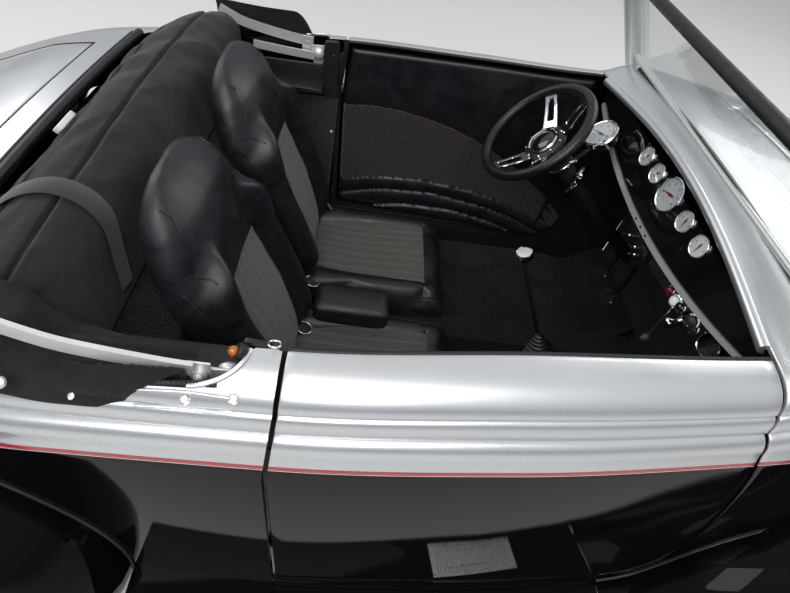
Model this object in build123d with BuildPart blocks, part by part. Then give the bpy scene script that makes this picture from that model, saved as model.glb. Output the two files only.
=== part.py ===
from build123d import *
from math import cos, radians, sin
import os

os.makedirs("parts", exist_ok=True)

# Driving dimensions, in millimetres. X runs forward, Y to the left, Z up from the ground.
# The origin is on the ground, half way along the car.
FRONT_AXLE_X = 1545.0
REAR_AXLE_X = -1400.0
FRONT_TYRE_R = 300.0
FRONT_TYRE_W = 155.0
FRONT_TRACK_Y = 670.0
REAR_TYRE_R = 350.0
REAR_TYRE_W = 250.0
REAR_TRACK_Y = 715.0
FRONT_RIM_R = 190.0
REAR_RIM_R = 210.0
DOOR_REAR_X = -657.0
DOOR_FRONT_X = 172.0
PANEL_GAP = 7.0
DOOR_FOOT_Z = 360.0
BOARD_TOP_Z = 310.0
BOARD_THICK = 30.0
BOARD_OUT_Y = 848.0
BOARD_FRONT_X = 165.0
BOARD_REAR_X = -966.0
TUNNEL_HALF = 47.0
TUNNEL_TOP_Z = 388.0
RAIL_TOP_Z = 345.0
RAIL_OUT_Y = 570.0
FLOOR_Z = 262.0
FLOOR_THICK = 12.0
HOOD_REAR_X = 496.0
SKIN = 14.0
FIREWALL_X = 470.0
SEAT_Y = 240.0
GRILLE_RAKE = 12.0
GRILLE_X = 1600.0
GRILLE_Z = 740.0
GLASS_FOOT_X = 261.0
GLASS_FOOT_Z = 1143.0
GLASS_RAKE = 27.4
HEADER_Z = 1398.0
POST_Y = 560.0
WHEEL_HUB = (-56.0, 301.0, 991.0)
COLUMN_ANGLE = 41.7
STEERING_R = 187.0
KINGPIN_Y = 565.0
KINGPIN_R = 11.0
PIN_CLEARANCE = 0.05
SIDES = (("left", 1), ("right", -1))

# Body cross-sections from tail to firewall. Columns: x, half width and height of the foot,
# of the belt line where the two colours meet, of the top edge, and height on the centre line.
BODY_ROWS = (
    (-1950.0, 345.0, 480.0, 380.0, 690.0, 270.0, 775.0, 792.0),
    (-1710.0, 500.0, 420.0, 545.0, 765.0, 410.0, 905.0, 925.0),
    (-1395.0, 665.0, 350.0, 668.0, 830.0, 500.0, 990.0, 1008.0),
    (-1060.0, 728.0, 310.0, 711.0, 862.0, 560.0, 1015.0, 1035.0),
    (-660.0, 745.0, 310.0, 715.0, 894.0, 589.0, 1050.0, 1060.0),
    (-244.0, 722.0, 310.0, 692.0, 918.0, 557.0, 1077.0, 1087.0),
    (173.0, 678.0, 310.0, 642.0, 943.0, 526.0, 1103.0, 1112.0),
    (270.0, 664.0, 310.0, 628.0, 950.0, 518.0, 1146.0, 1172.0),
    (490.0, 612.0, 350.0, 585.0, 955.0, 455.0, 1135.0, 1168.0),
)
# Hood cross-sections, same columns, from the cowl to just past the grille.
HOOD_ROWS = (
    (490.0, 603.0, 470.0, 585.0, 955.0, 455.0, 1135.0, 1168.0),
    (990.0, 365.0, 560.0, 390.0, 930.0, 290.0, 1098.0, 1125.0),
    (1490.0, 195.0, 640.0, 215.0, 905.0, 140.0, 1055.0, 1082.0),
    (1640.0, 150.0, 664.0, 166.0, 897.0, 100.0, 1042.0, 1069.1),
)
# The side above the belt: shares of the inward run and of the rise at the end of each form,
# and how far the form swells. First the flat strip, then the two beads.
BELT_FORMS = ((0.045, 0.19, 0.0), (0.214, 0.434, 4.5), (0.326, 0.673, 4.5))
CAP_RUN = 0.52
SIDE_SWELL = 5.0
CAP_RISE = 0.90


def body_section(row, inset=0.0):
    """Cross-section of the body or hood, left and right alike, closed along the bottom."""
    x, foot_w, foot_z, belt_w, belt_z, top_w, top_z, crown_z = row
    foot_w, belt_w, top_w = foot_w - inset, belt_w - inset, top_w - inset
    top_z, crown_z = top_z - inset, crown_z - inset
    run, rise = belt_w - top_w, top_z - belt_z
    with BuildSketch(Plane.YZ.offset(x)) as section:
        with BuildLine():
            Line((0, foot_z), (foot_w, foot_z))
            swell = ((foot_w + belt_w) / 2 + SIDE_SWELL, (foot_z + belt_z) / 2)
            ThreePointArc((foot_w, foot_z), swell, (belt_w, belt_z))
            last = (belt_w, belt_z)
            for run_share, rise_share, bulge in BELT_FORMS:
                end = (belt_w - run * run_share, belt_z + rise * rise_share)
                if bulge:
                    middle = ((last[0] + end[0]) / 2 + bulge, (last[1] + end[1]) / 2 + bulge / 2)
                    ThreePointArc(last, middle, end)
                else:
                    Line(last, end)
                last = end
            cap = (belt_w - run * CAP_RUN, belt_z + rise * CAP_RISE)
            ThreePointArc(last, cap, (top_w, top_z))
            ThreePointArc((top_w, top_z), (top_w / 2, top_z + (crown_z - top_z) * 0.75), (0, crown_z))
            mirror(about=Plane.YZ)
        make_face()
    return section.sketch


def plan_prism(points, z_low, z_high, mode):
    """A solid over both halves of a plan outline given for the left half."""
    with BuildSketch(Plane.XY.offset(z_low)) as outline:
        with BuildLine():
            Polyline(*points)
            mirror(about=Plane.XZ)
        make_face()
    extrude(outline.sketch, amount=z_high - z_low, mode=mode)


def block(x_low, x_high, y_low, y_high, z_low, z_high, mode=Mode.ADD):
    """A box between two corners."""
    with BuildSketch(Plane.XY.offset(z_low)) as outline:
        with Locations(((x_low + x_high) / 2, (y_low + y_high) / 2)):
            Rectangle(x_high - x_low, y_high - y_low)
    extrude(outline.sketch, amount=z_high - z_low, mode=mode)


def disc(plane, radius, depth, mode=Mode.ADD):
    """A round bar that starts on a plane and runs along its normal."""
    with BuildSketch(plane) as outline:
        Circle(radius)
    extrude(outline.sketch, amount=depth, mode=mode)


def bar(start, end, radius, mode=Mode.ADD):
    """A round bar between two points."""
    run = Vector(*end) - Vector(*start)
    disc(Plane(origin=start, z_dir=run), radius, run.length, mode)


def write(part, name):
    """Label one finished piece and write its file."""
    part.label = name
    export_step(part, f"parts/{name}.step")


# The whole outer form of the body, cut into its panels further down.
with BuildPart() as body_form:
    loft([body_section(row) for row in BODY_ROWS], ruled=True)

with BuildPart() as deck_under:
    loft([body_section(row, 22.0) for row in BODY_ROWS[:4]], ruled=True)

# Half widths of the cabin's inner faces, and of the well that the folded top lies in.
CABIN_PLAN = ((-990.0, 0.0), (-990.0, 585.0), (-660.0, 589.0), (173.0, 526.0), (178.0, 0.0))
WELL_PLAN = ((-1300.0, 0.0), (-1300.0, 520.0), (-1060.0, 640.0), (-775.0, 648.0), (-775.0, 0.0))
TRUNK_PLAN = ((-1860.0, 0.0), (-1860.0, 300.0), (-1300.0, 500.0), (-1000.0, 520.0), (-1000.0, 0.0))
UNDER_PLAN = ((-1860.0, 0.0), (-1860.0, 300.0), (-1300.0, 500.0), (-980.0, 521.0), (-980.0, 0.0))
LID_PLAN = ((-1800.0, 0.0), (-1800.0, 255.0), (-1530.0, 408.0), (-1410.0, 410.0), (-1410.0, 0.0))
LID_CUT = ((-1807.0, 0.0), (-1807.0, 262.0), (-1532.0, 416.0), (-1403.0, 417.0), (-1403.0, 0.0))
# Plan of the door's inner face, and the parts of the door's outline seen from the side.
DOOR_IN_PLAN = ((-700.0, 0.0), (-700.0, 592.0), (-660.0, 589.0), (173.0, 526.0), (300.0, 512.0), (300.0, 0.0))
DOOR_REAR_EDGE = ((DOOR_REAR_X, 1300.0), (DOOR_REAR_X, 1000.0), (-666.0, 860.0), (-637.0, DOOR_FOOT_Z))
DOOR_CORNER = ((150.0, DOOR_FOOT_Z), (236.0, 398.0), (272.0, 500.0))
DOOR_FRONT_EDGE = ((272.0, 500.0), (262.0, 650.0), (186.0, 950.0))


def door_prism(gap, mode):
    """Everything within the door's outline, from side to side of the car."""
    with BuildSketch(Plane.XZ.offset(-900)) as outline:
        with BuildLine():
            Polyline(*DOOR_REAR_EDGE)
            Line(DOOR_REAR_EDGE[-1], DOOR_CORNER[0])
            ThreePointArc(*DOOR_CORNER)
            ThreePointArc(*DOOR_FRONT_EDGE)
            Polyline(DOOR_FRONT_EDGE[-1], (DOOR_FRONT_X, 1010), (DOOR_FRONT_X, 1300), DOOR_REAR_EDGE[0])
        make_face()
        if gap:
            offset(amount=gap, kind=Kind.INTERSECTION)
    extrude(outline.sketch, amount=1800, mode=mode)


SILL_REAR_X = -645.0
SILL_FRONT_X = 158.0

with BuildPart() as rear_body:
    add(body_form.part)
    block(-2000, SILL_REAR_X, -900, 900, 300, 1300, Mode.INTERSECT)
    door_prism(PANEL_GAP, Mode.SUBTRACT)
    plan_prism(CABIN_PLAN, 300, 1300, Mode.SUBTRACT)
    plan_prism(WELL_PLAN, 880, 1300, Mode.SUBTRACT)
    plan_prism(TRUNK_PLAN, 600, 900, Mode.SUBTRACT)
    plan_prism(UNDER_PLAN, 300, 585, Mode.SUBTRACT)
    disc(Plane(origin=(REAR_AXLE_X, -600, REAR_TYRE_R), z_dir=(0, 1, 0)), 130, 1200, Mode.SUBTRACT)
    plan_prism(LID_CUT, 700, 1300, Mode.SUBTRACT)
    for _, side in SIDES:
        well = Plane(origin=(REAR_AXLE_X, side * 560, REAR_TYRE_R), z_dir=(0, side, 0))
        disc(well, REAR_TYRE_R + 45, 340, Mode.SUBTRACT)
write(rear_body.part, "rear_body")

with BuildPart() as deck_lid:
    add(body_form.part)
    plan_prism(LID_PLAN, 700, 1300, Mode.INTERSECT)
    add(deck_under.part, mode=Mode.SUBTRACT)
write(deck_lid.part, "deck_lid")

COWL_VOID = ((150.0, 0.0), (150.0, 528.0), (270.0, 512.0), (FIREWALL_X, 430.0), (FIREWALL_X, 0.0))

with BuildPart() as cowl:
    add(body_form.part)
    block(SILL_FRONT_X, 490, -900, 900, 300, 1300, Mode.INTERSECT)
    door_prism(PANEL_GAP, Mode.SUBTRACT)
    plan_prism(COWL_VOID, 300, 1088, Mode.SUBTRACT)
    block(100, 500, -RAIL_OUT_Y - 4, RAIL_OUT_Y + 4, 300, RAIL_TOP_Z + 1, Mode.SUBTRACT)
    block(400, 500, -TUNNEL_HALF - 3, TUNNEL_HALF + 3, 300, TUNNEL_TOP_Z + 3, Mode.SUBTRACT)
    with BuildSketch(Plane.XY.offset(1000)):
        with BuildLine():
            ThreePointArc((170, -500), (222, 0), (170, 500))
            Line((170, 500), (170, -500))
        make_face()
    extrude(amount=300, mode=Mode.SUBTRACT)
write(cowl.part, "cowl")

for label, side in SIDES:
    with BuildPart() as door:
        add(body_form.part)
        y_low, y_high = sorted((0, side * 900))
        block(-700, 300, y_low, y_high, DOOR_FOOT_Z, 1300, Mode.INTERSECT)
        door_prism(0, Mode.INTERSECT)
        plan_prism(DOOR_IN_PLAN, 300, 1300, Mode.SUBTRACT)
    write(door.part, f"door_{label}")

with BuildPart() as hood_form:
    loft([body_section(row) for row in HOOD_ROWS], ruled=True)
    block(HOOD_REAR_X, 1700, -900, 900, 300, 1300, Mode.INTERSECT)

with BuildPart() as hood_under:
    loft([body_section((*row[:2], row[2] - 40, *row[3:]), SKIN) for row in HOOD_ROWS], ruled=True)

GRILLE_PLANE = Plane(
    origin=(GRILLE_X, 0, GRILLE_Z),
    x_dir=(0, 1, 0),
    z_dir=(cos(radians(GRILLE_RAKE)), 0, sin(radians(GRILLE_RAKE))),
)
SHELL_DEPTH = 90.0
HOOD_FRONT_GAP = 12.0


def ahead_of_hood(mode):
    """Everything in front of the raked plane that the hood stops at."""
    with BuildSketch(GRILLE_PLANE.offset(-SHELL_DEPTH - HOOD_FRONT_GAP)) as outline:
        Rectangle(1600, 1600)
    extrude(outline.sketch, amount=600, mode=mode)


def hood_band(low_lift, high_lift, mode):
    """The band between two lines that follow the belt along the hood."""
    x_1, z_1 = HOOD_ROWS[0][0] - 40, HOOD_ROWS[0][4]
    x_2, z_2 = HOOD_ROWS[2][0] + 200, HOOD_ROWS[2][4] - 8
    with BuildSketch(Plane.XZ.offset(-900)) as outline:
        with BuildLine():
            Polyline(
                (x_1, z_1 + low_lift), (x_2, z_2 + low_lift),
                (x_2, z_2 + high_lift), (x_1, z_1 + high_lift), close=True,
            )
        make_face()
    extrude(outline.sketch, amount=1800, mode=mode)


for label, side in SIDES:
    with BuildPart() as hood:
        add(hood_form.part)
        add(hood_under.part, mode=Mode.SUBTRACT)
        ahead_of_hood(Mode.SUBTRACT)
        hood_band(3, 500, Mode.INTERSECT)
        y_low, y_high = sorted((side * 2.5, side * 900))
        block(400, 1700, y_low, y_high, 300, 1400, Mode.INTERSECT)
    write(hood.part, f"hood_{label}")

with BuildPart() as hood_sides:
    add(hood_form.part)
    add(hood_under.part, mode=Mode.SUBTRACT)
    ahead_of_hood(Mode.SUBTRACT)
    hood_band(-600, -3, Mode.INTERSECT)
write(hood_sides.part, "hood_sides")

# Grille shell: a shield outline, leaning back, with vertical bars in its mouth.
SHELL_OUT = ((0, 345), (150, 318), (205, 180), (110, -330), (0, -362))
SHELL_IN = ((0, 300), (120, 280), (162, 168), (82, -300), (0, -325))


def shield(points):
    """The shell's outline, with a round top and a rounded chin."""
    with BuildLine() as half:
        top, shoulder, side, chin, bottom = points
        ThreePointArc(top, ((top[0] + shoulder[0]) / 2, top[1] - 7), shoulder)
        ThreePointArc(shoulder, ((shoulder[0] + side[0]) / 2 + 12, (shoulder[1] + side[1]) / 2 + 12), side)
        Line(side, chin)
        ThreePointArc(chin, (chin[0] * 0.6, bottom[1] + 12), bottom)
        mirror(about=Plane.YZ)
    make_face(half.edges())


with BuildPart() as grille_shell:
    with BuildSketch(GRILLE_PLANE.offset(-SHELL_DEPTH)):
        shield(SHELL_OUT)
        with BuildSketch(mode=Mode.SUBTRACT):
            shield(SHELL_IN)
    extrude(amount=SHELL_DEPTH)
write(grille_shell.part, "grille_shell")

BAR_COUNT = 17
BAR_PITCH = 18.0
with BuildPart() as grille_bars:
    with BuildSketch(GRILLE_PLANE.offset(-40)):
        with GridLocations(BAR_PITCH, 0, BAR_COUNT, 1):
            Rectangle(6, 700)
        with Locations((0, 150), (0, -120)):
            Rectangle(400, 7)
        with BuildSketch(mode=Mode.INTERSECT):
            shield(SHELL_IN)
    extrude(amount=14)
write(grille_bars.part, "grille_bars")

with BuildPart() as radiator:
    with BuildSketch(GRILLE_PLANE.offset(-170)):
        with Locations((0, 10)):
            Rectangle(230, 500)
    extrude(amount=60)
write(radiator.part, "radiator")

# Front fenders. Columns: x and z of the crown, slope of the path in degrees, inner edge,
# shoulder and outer edge in y, and the drops at shoulder and edge.
FENDER_ROWS = (
    (165.0, 310.0, 0.0, 640.0, 800.0, 848.0, 2.0, 28.0),
    (235.0, 342.0, 18.0, 640.0, 795.0, 848.0, 22.0, 55.0),
    (300.0, 415.0, 28.0, 630.0, 782.0, 849.0, 65.0, 105.0),
    (350.0, 480.0, 32.0, 618.0, 775.0, 850.0, 90.0, 140.0),
    (430.0, 535.0, 26.0, 600.0, 765.0, 852.0, 100.0, 160.0),
    (600.0, 588.0, 16.0, 535.0, 757.0, 856.0, 85.0, 165.0),
    (790.0, 636.0, 13.0, 450.0, 752.0, 858.0, 68.0, 158.0),
    (1080.0, 690.0, 8.0, 330.0, 742.0, 862.0, 52.0, 148.0),
    (1330.0, 724.0, 5.0, 250.0, 735.0, 868.0, 52.0, 146.0),
    (1545.0, 728.0, 0.0, 240.0, 725.0, 872.0, 60.0, 150.0),
    (1760.0, 680.0, -27.0, 240.0, 720.0, 866.0, 55.0, 140.0),
    (1898.0, 565.0, -55.0, 310.0, 705.0, 848.0, 45.0, 110.0),
    (1948.0, 440.0, -80.0, 420.0, 690.0, 815.0, 30.0, 70.0),
)
FENDER_SKIN = 10.0


def fender_section(row, side):
    """A thin shell section across the fender, square to its path."""
    x, z, slope, y_in, y_shoulder, y_out, drop_shoulder, drop_out = row
    tilt = radians(slope)
    plane = Plane(origin=(x, 0, z), x_dir=(0, 1, 0), z_dir=(cos(tilt), 0, sin(tilt)))
    y_mid = (y_in + y_shoulder) / 2
    skin = FENDER_SKIN
    with BuildSketch(plane) as section:
        with BuildLine():
            outer = [(y_in, 0), (y_mid, 6), (y_shoulder, -drop_shoulder)]
            edge = [
                (y_shoulder, -drop_shoulder),
                ((y_shoulder + y_out) / 2 + 20, -(drop_shoulder + drop_out) / 2 + 16),
                (y_out, -drop_out),
            ]
            under = [
                (y_out - skin, -drop_out),
                ((y_shoulder + y_out) / 2 + 20 - skin, -(drop_shoulder + drop_out) / 2 + 16 - skin / 2),
                (y_shoulder - skin / 2, -drop_shoulder - skin),
            ]
            inner = [(y_shoulder - skin / 2, -drop_shoulder - skin), (y_mid, 6 - skin), (y_in, -skin)]
            for points in (outer, edge, under, inner):
                ThreePointArc(*[(side * y, n) for y, n in points])
            Line((side * y_out, -drop_out), (side * (y_out - skin), -drop_out))
            Line((side * y_in, -skin), (side * y_in, 0))
        make_face()
    return section.sketch


with BuildPart() as front_fenders:
    for _, side in SIDES:
        loft([fender_section(row, side) for row in FENDER_ROWS], ruled=True)
        arch = Plane(origin=(FRONT_AXLE_X, side * 400, FRONT_TYRE_R), z_dir=(0, side, 0))
        disc(arch, FRONT_TYRE_R + 28, 520, Mode.SUBTRACT)
    add(body_form.part, mode=Mode.SUBTRACT)
    add(hood_form.part, mode=Mode.SUBTRACT)
write(front_fenders.part, "front_fenders")

# Rear fenders: crowned shells turned about the axle, closed against the body.
REAR_CROWN = ((590, 428), (720, 434), (822, 412), (868, 375))
with BuildPart() as rear_fenders:
    for _, side in SIDES:
        with BuildSketch(Plane(origin=(REAR_AXLE_X, 0, REAR_TYRE_R), x_dir=(0, 1, 0), z_dir=(1, 0, 0))):
            with BuildLine():
                a, b, c, d = [(side * y, r) for y, r in REAR_CROWN]
                ThreePointArc(a, b, c)
                ThreePointArc(c, (side * 852, 398), d)
                Line(d, (side * 856, 375))
                ThreePointArc((side * 856, 375), (side * 842, 390), (side * 816, 401))
                ThreePointArc((side * 816, 401), (side * 716, 422), (side * 590, 416))
                Line((side * 590, 416), a)
            make_face()
        revolve(axis=Axis((REAR_AXLE_X, 0, REAR_TYRE_R), (0, 1, 0)))
    block(-1900, -700, -900, 900, BOARD_TOP_Z - BOARD_THICK, 900, Mode.INTERSECT)
    add(body_form.part, mode=Mode.SUBTRACT)
write(rear_fenders.part, "rear_fenders")

with BuildPart() as running_boards:
    for _, side in SIDES:
        y_low, y_high = sorted((side * (RAIL_OUT_Y + 5), side * BOARD_OUT_Y))
        block(BOARD_REAR_X, BOARD_FRONT_X, y_low, y_high, BOARD_TOP_Z - BOARD_THICK, BOARD_TOP_Z)
    add(body_form.part, mode=Mode.SUBTRACT)
    add(rear_fenders.part, mode=Mode.SUBTRACT)
write(running_boards.part, "running_boards")

# Frame: two rails, stepped up over the rear axle, tied by cross members.
RAIL_SIDE = (
    (-1850, 450), (-1500, 470), (-1080, 470), (-940, 300), (-860, 262), (1180, 262), (1300, 330),
    (1700, 340), (1700, 420), (1290, 420), (1160, 345), (-850, 345), (-960, 440), (-1060, 560),
    (-1520, 560), (-1850, 530),
)
RAIL_PLAN = (
    (-1850, 235), (-1300, 400), (-1000, 440), (-860, 520), (300, 520), (1180, 300), (1750, 260),
    (1750, 310), (1190, 350), (320, 570), (-870, 570), (-1010, 490), (-1300, 450), (-1850, 285),
)
with BuildPart() as frame:
    for _, side in SIDES:
        with BuildSketch(Plane.XY.offset(200)):
            with BuildLine():
                Polyline(*[(x, side * y) for x, y in RAIL_PLAN], close=True)
            make_face()
        extrude(amount=500)
    with BuildSketch(Plane.XZ.offset(-700)):
        with BuildLine():
            Polyline(*RAIL_SIDE, close=True)
        make_face()
    extrude(amount=1400, mode=Mode.INTERSECT)
    for x, half, low, high in ((-1800, 250, 460, 520), (-1080, 440, 480, 540), (1200, 310, 290, 340), (1545, 285, 350, 385)):
        block(x - 30, x + 30, -half, half, low, high)
write(frame.part, "frame")

# Floor pan between the rails with its shaft tunnel, and the riser behind the seats.
TUNNEL_SKIN = 8.0
PAN_PLAN = ((-850.0, 0.0), (-850.0, 519.0), (300.0, 519.0), (FIREWALL_X - 2, 470.0), (FIREWALL_X - 2, 0.0))
with BuildPart() as floor:
    plan_prism(PAN_PLAN, FLOOR_Z, FLOOR_Z + FLOOR_THICK, Mode.ADD)
    block(-862, -850, -510, 510, FLOOR_Z, 600)
    block(-989, -850, -510, 510, 588, 600)
    block(454, FIREWALL_X - 2, -428, 428, FLOOR_Z, 400)
    block(-862, 454, -TUNNEL_HALF, TUNNEL_HALF, FLOOR_Z, TUNNEL_TOP_Z)
    hollow = TUNNEL_HALF - TUNNEL_SKIN
    block(-900, 500, -hollow, hollow, FLOOR_Z - 1, TUNNEL_TOP_Z - TUNNEL_SKIN, Mode.SUBTRACT)
write(floor.part, "floor")

# The sills: the strips of body below the doors.
with BuildPart() as sills:
    add(body_form.part)
    block(SILL_REAR_X, SILL_FRONT_X, -900, 900, 300, DOOR_FOOT_Z - PANEL_GAP, Mode.INTERSECT)
    block(-2000, 2000, -RAIL_OUT_Y - 5, RAIL_OUT_Y + 5, 300, 500, Mode.SUBTRACT)
write(sills.part, "sills")

# Windshield: leaning posts, a tube header and a foot rail around one flat pane.
RAKE = radians(GLASS_RAKE)
HEADER_X = GLASS_FOOT_X - (HEADER_Z - GLASS_FOOT_Z) * sin(RAKE) / cos(RAKE)
with BuildPart() as windshield_frame:
    for _, side in SIDES:
        foot = (GLASS_FOOT_X + 24, side * POST_Y, GLASS_FOOT_Z - 46)
        with BuildSketch(Plane(origin=foot, x_dir=(0, 1, 0), z_dir=(-sin(RAKE), 0, cos(RAKE)))):
            Ellipse(13, 24)
        extrude(amount=(HEADER_Z - foot[2]) / cos(RAKE))
    bar((HEADER_X, -POST_Y, HEADER_Z), (HEADER_X, POST_Y, HEADER_Z), 11)
    bar((GLASS_FOOT_X - 3, -POST_Y, GLASS_FOOT_Z + 24), (GLASS_FOOT_X - 3, POST_Y, GLASS_FOOT_Z + 24), 9)
    add(cowl.part, mode=Mode.SUBTRACT)
write(windshield_frame.part, "windshield_frame")

with BuildPart() as windshield_glass:
    foot = (GLASS_FOOT_X, 0, GLASS_FOOT_Z + 20)
    with BuildSketch(Plane(origin=foot, x_dir=(0, 1, 0), z_dir=(cos(RAKE), 0, sin(RAKE)))):
        with Locations((0, 136)):
            Rectangle(2 * POST_Y - 20, 256)
    extrude(amount=3, both=True)
    add(windshield_frame.part, mode=Mode.SUBTRACT)
write(windshield_glass.part, "windshield_glass")

# Dash: a leaning panel with an arched lower edge, its bright strip and five round gauges.
DASH_X = 204.0
DASH_TILT = 12.0
DASH_PLANE = Plane(
    origin=(DASH_X, 0, 1061),
    x_dir=(0, -1, 0),
    z_dir=(-cos(radians(DASH_TILT)), 0, sin(radians(DASH_TILT))),
)
with BuildPart() as dash:
    with BuildSketch(DASH_PLANE.offset(-12)):
        with BuildLine():
            Line((-508, 24), (508, 24))
            Line((508, 24), (508, -40))
            ThreePointArc((508, -40), (0, -118), (-508, -40))
            Line((-508, -40), (-508, 24))
        make_face()
    extrude(amount=12)
write(dash.part, "dash")

with BuildPart() as dash_trim:
    with BuildSketch(DASH_PLANE):
        with BuildLine():
            ThreePointArc((-480, -34), (0, -104), (480, -34))
            Line((480, -34), (480, -45))
            ThreePointArc((480, -45), (0, -117), (-480, -45))
            Line((-480, -45), (-480, -34))
        make_face()
    extrude(amount=6)
write(dash_trim.part, "dash_trim")

# Gauges. Columns: y, bezel radius.
GAUGES = ((146.0, 29.0), (65.0, 29.0), (-29.0, 47.0), (-123.0, 29.0), (-204.0, 29.0))
with BuildPart() as gauges:
    for y, radius in GAUGES:
        with BuildSketch(DASH_PLANE):
            with Locations((-y, -24)):
                Circle(radius)
        extrude(amount=12)
write(gauges.part, "gauges")

# Seats: two cushions, two high backs with head rests, and the arm rest between them.
with BuildPart() as seat_cushions:
    for _, side in SIDES:
        with BuildSketch(Plane.XY.offset(FLOOR_Z + FLOOR_THICK)):
            with Locations((-470, side * SEAT_Y)):
                RectangleRounded(520, 450, 70)
        extrude(amount=166)
    block(-900, 0, -TUNNEL_HALF - 3, TUNNEL_HALF + 3, 200, TUNNEL_TOP_Z + 2, Mode.SUBTRACT)
write(seat_cushions.part, "seat_cushions")

BACK_LEAN = radians(20)
with BuildPart() as seat_backs:
    for _, side in SIDES:
        lean = Plane(
            origin=(-700, side * SEAT_Y, 442), x_dir=(0, 1, 0),
            z_dir=(cos(BACK_LEAN), 0, sin(BACK_LEAN)),
        )
        with BuildSketch(lean):
            with BuildLine():
                Polyline((0, 30), (205, 30), (222, 300), (205, 470))
                ThreePointArc((205, 470), (160, 560), (140, 660))
                ThreePointArc((140, 660), (105, 725), (0, 742))
                mirror(about=Plane.YZ)
            make_face()
        extrude(amount=60, both=True)
write(seat_backs.part, "seat_backs")

with BuildPart() as armrest:
    block(-650, -415, -110, 4, 450, 535)
write(armrest.part, "armrest")

# Steering: wheel, column and tachometer pod.
COLUMN = radians(COLUMN_ANGLE)
WHEEL_AXIS = Vector(-cos(COLUMN), 0, sin(COLUMN))
WHEEL_PLANE = Plane(origin=WHEEL_HUB, x_dir=(0, -1, 0), z_dir=WHEEL_AXIS)
with BuildPart() as steering_wheel:
    with BuildSketch(Plane(origin=WHEEL_HUB, x_dir=(0, -1, 0), z_dir=(sin(COLUMN), 0, cos(COLUMN)))):
        with Locations((STEERING_R - 15, 0)):
            Circle(15)
    revolve(axis=Axis(WHEEL_HUB, WHEEL_AXIS))
    with BuildSketch(WHEEL_PLANE.offset(-8)):
        with PolarLocations(100, 3, start_angle=90):
            Rectangle(150, 42)
    extrude(amount=6)
    disc(WHEEL_PLANE.offset(-30), 34, 44)
write(steering_wheel.part, "steering_wheel")

with BuildPart() as steering_column:
    disc(WHEEL_PLANE.offset(-38), 23, -(FIREWALL_X - WHEEL_HUB[0] - 38 * cos(COLUMN)) / cos(COLUMN) + 30)
    tach = Plane(origin=(90, 291, 985), x_dir=(0, -1, 0), z_dir=WHEEL_AXIS)
    disc(tach, 44, 60)
    bar((90, 291, 900), (90, 291, 990), 8)
write(steering_column.part, "steering_column")

# Floor shifter and the two pedals.
with BuildPart() as controls:
    bar((104, -42, TUNNEL_TOP_Z - 2), (-55, 0, 745), 7)
    with Locations((-59, 0, 757)):
        Sphere(26)
    for y in (340, 225):
        bar((FIREWALL_X, y, 560), (430, y, 400), 8)
        block(405, 435, y - 35, y + 35, 350, 400)
    add(cowl.part, mode=Mode.SUBTRACT)
    add(floor.part, mode=Mode.SUBTRACT)
write(controls.part, "controls")

# Folded top behind the seats and the flat bars that carry it.
with BuildPart() as soft_top:
    with BuildSketch(Plane.XZ.offset(-610)):
        with BuildLine():
            Polyline((-1000, 890), (-1270, 890), (-1290, 1000), (-1210, 1090))
            ThreePointArc((-1210, 1090), (-1120, 1130), (-1030, 1080))
            Line((-1030, 1080), (-1000, 890))
        make_face()
    extrude(amount=1220)
    plan_prism(((-1295, 0), (-1295, 508), (-1060, 628), (-990, 632), (-990, 0)), 800, 1300, Mode.INTERSECT)
    for y_low, y_high in ((495, 610), (-610, -495)):
        block(-1010, -800, y_low, y_high, 890, 985)
write(soft_top.part, "soft_top")

with BuildPart() as top_irons:
    for _, side in SIDES:
        y_low, y_high = sorted((side * 618, side * 628))
        with BuildSketch(Plane.XZ.offset(-y_high)):
            with BuildLine():
                Polyline((-800, 970), (-1090, 1060), (-1100, 1035), (-810, 940), close=True)
            make_face()
        extrude(amount=10)
        block(-815, -780, y_low, y_high, 881, 972)
write(top_irons.part, "top_irons")

# Lamps.
TAIL_LAMP_X = -1956.22
with BuildPart() as headlamps:
    for _, side in SIDES:
        with BuildSketch(Plane(origin=(1640, side * 395, 830), x_dir=(1, 0, 0), z_dir=(0, -1, 0))):
            with BuildLine():
                Polyline((-130, 0), (45, 0), (45, 60), (30, 92), (10, 95))
                ThreePointArc((10, 95), (-80, 70), (-130, 0))
            make_face()
        revolve(axis=Axis((1640, side * 395, 830), (1, 0, 0)))
        bar((1620, side * 395, 690), (1620, side * 395, 800), 14)
    add(front_fenders.part, mode=Mode.SUBTRACT)
    block(1400, 1900, -900, 900, 690, 712, Mode.SUBTRACT)
write(headlamps.part, "headlamps")

with BuildPart() as tail_lamps:
    for _, side in SIDES:
        with BuildSketch(Plane.YZ.offset(TAIL_LAMP_X)):
            with Locations((side * 265, 640)):
                Circle(45)
        extrude(amount=-1950 - TAIL_LAMP_X)
write(tail_lamps.part, "tail_lamps")

with BuildPart() as plate_bracket:
    with BuildSketch(Plane.YZ.offset(-1954)):
        with Locations((0, 600)):
            Rectangle(200, 150)
            with GridLocations(178, 121, 2, 2):
                Circle(3.5, mode=Mode.SUBTRACT)
    extrude(amount=4)
write(plate_bracket.part, "plate_bracket")


SPOKE_COUNT = 5
SPOKE_WIDTH = 62.0


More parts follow.
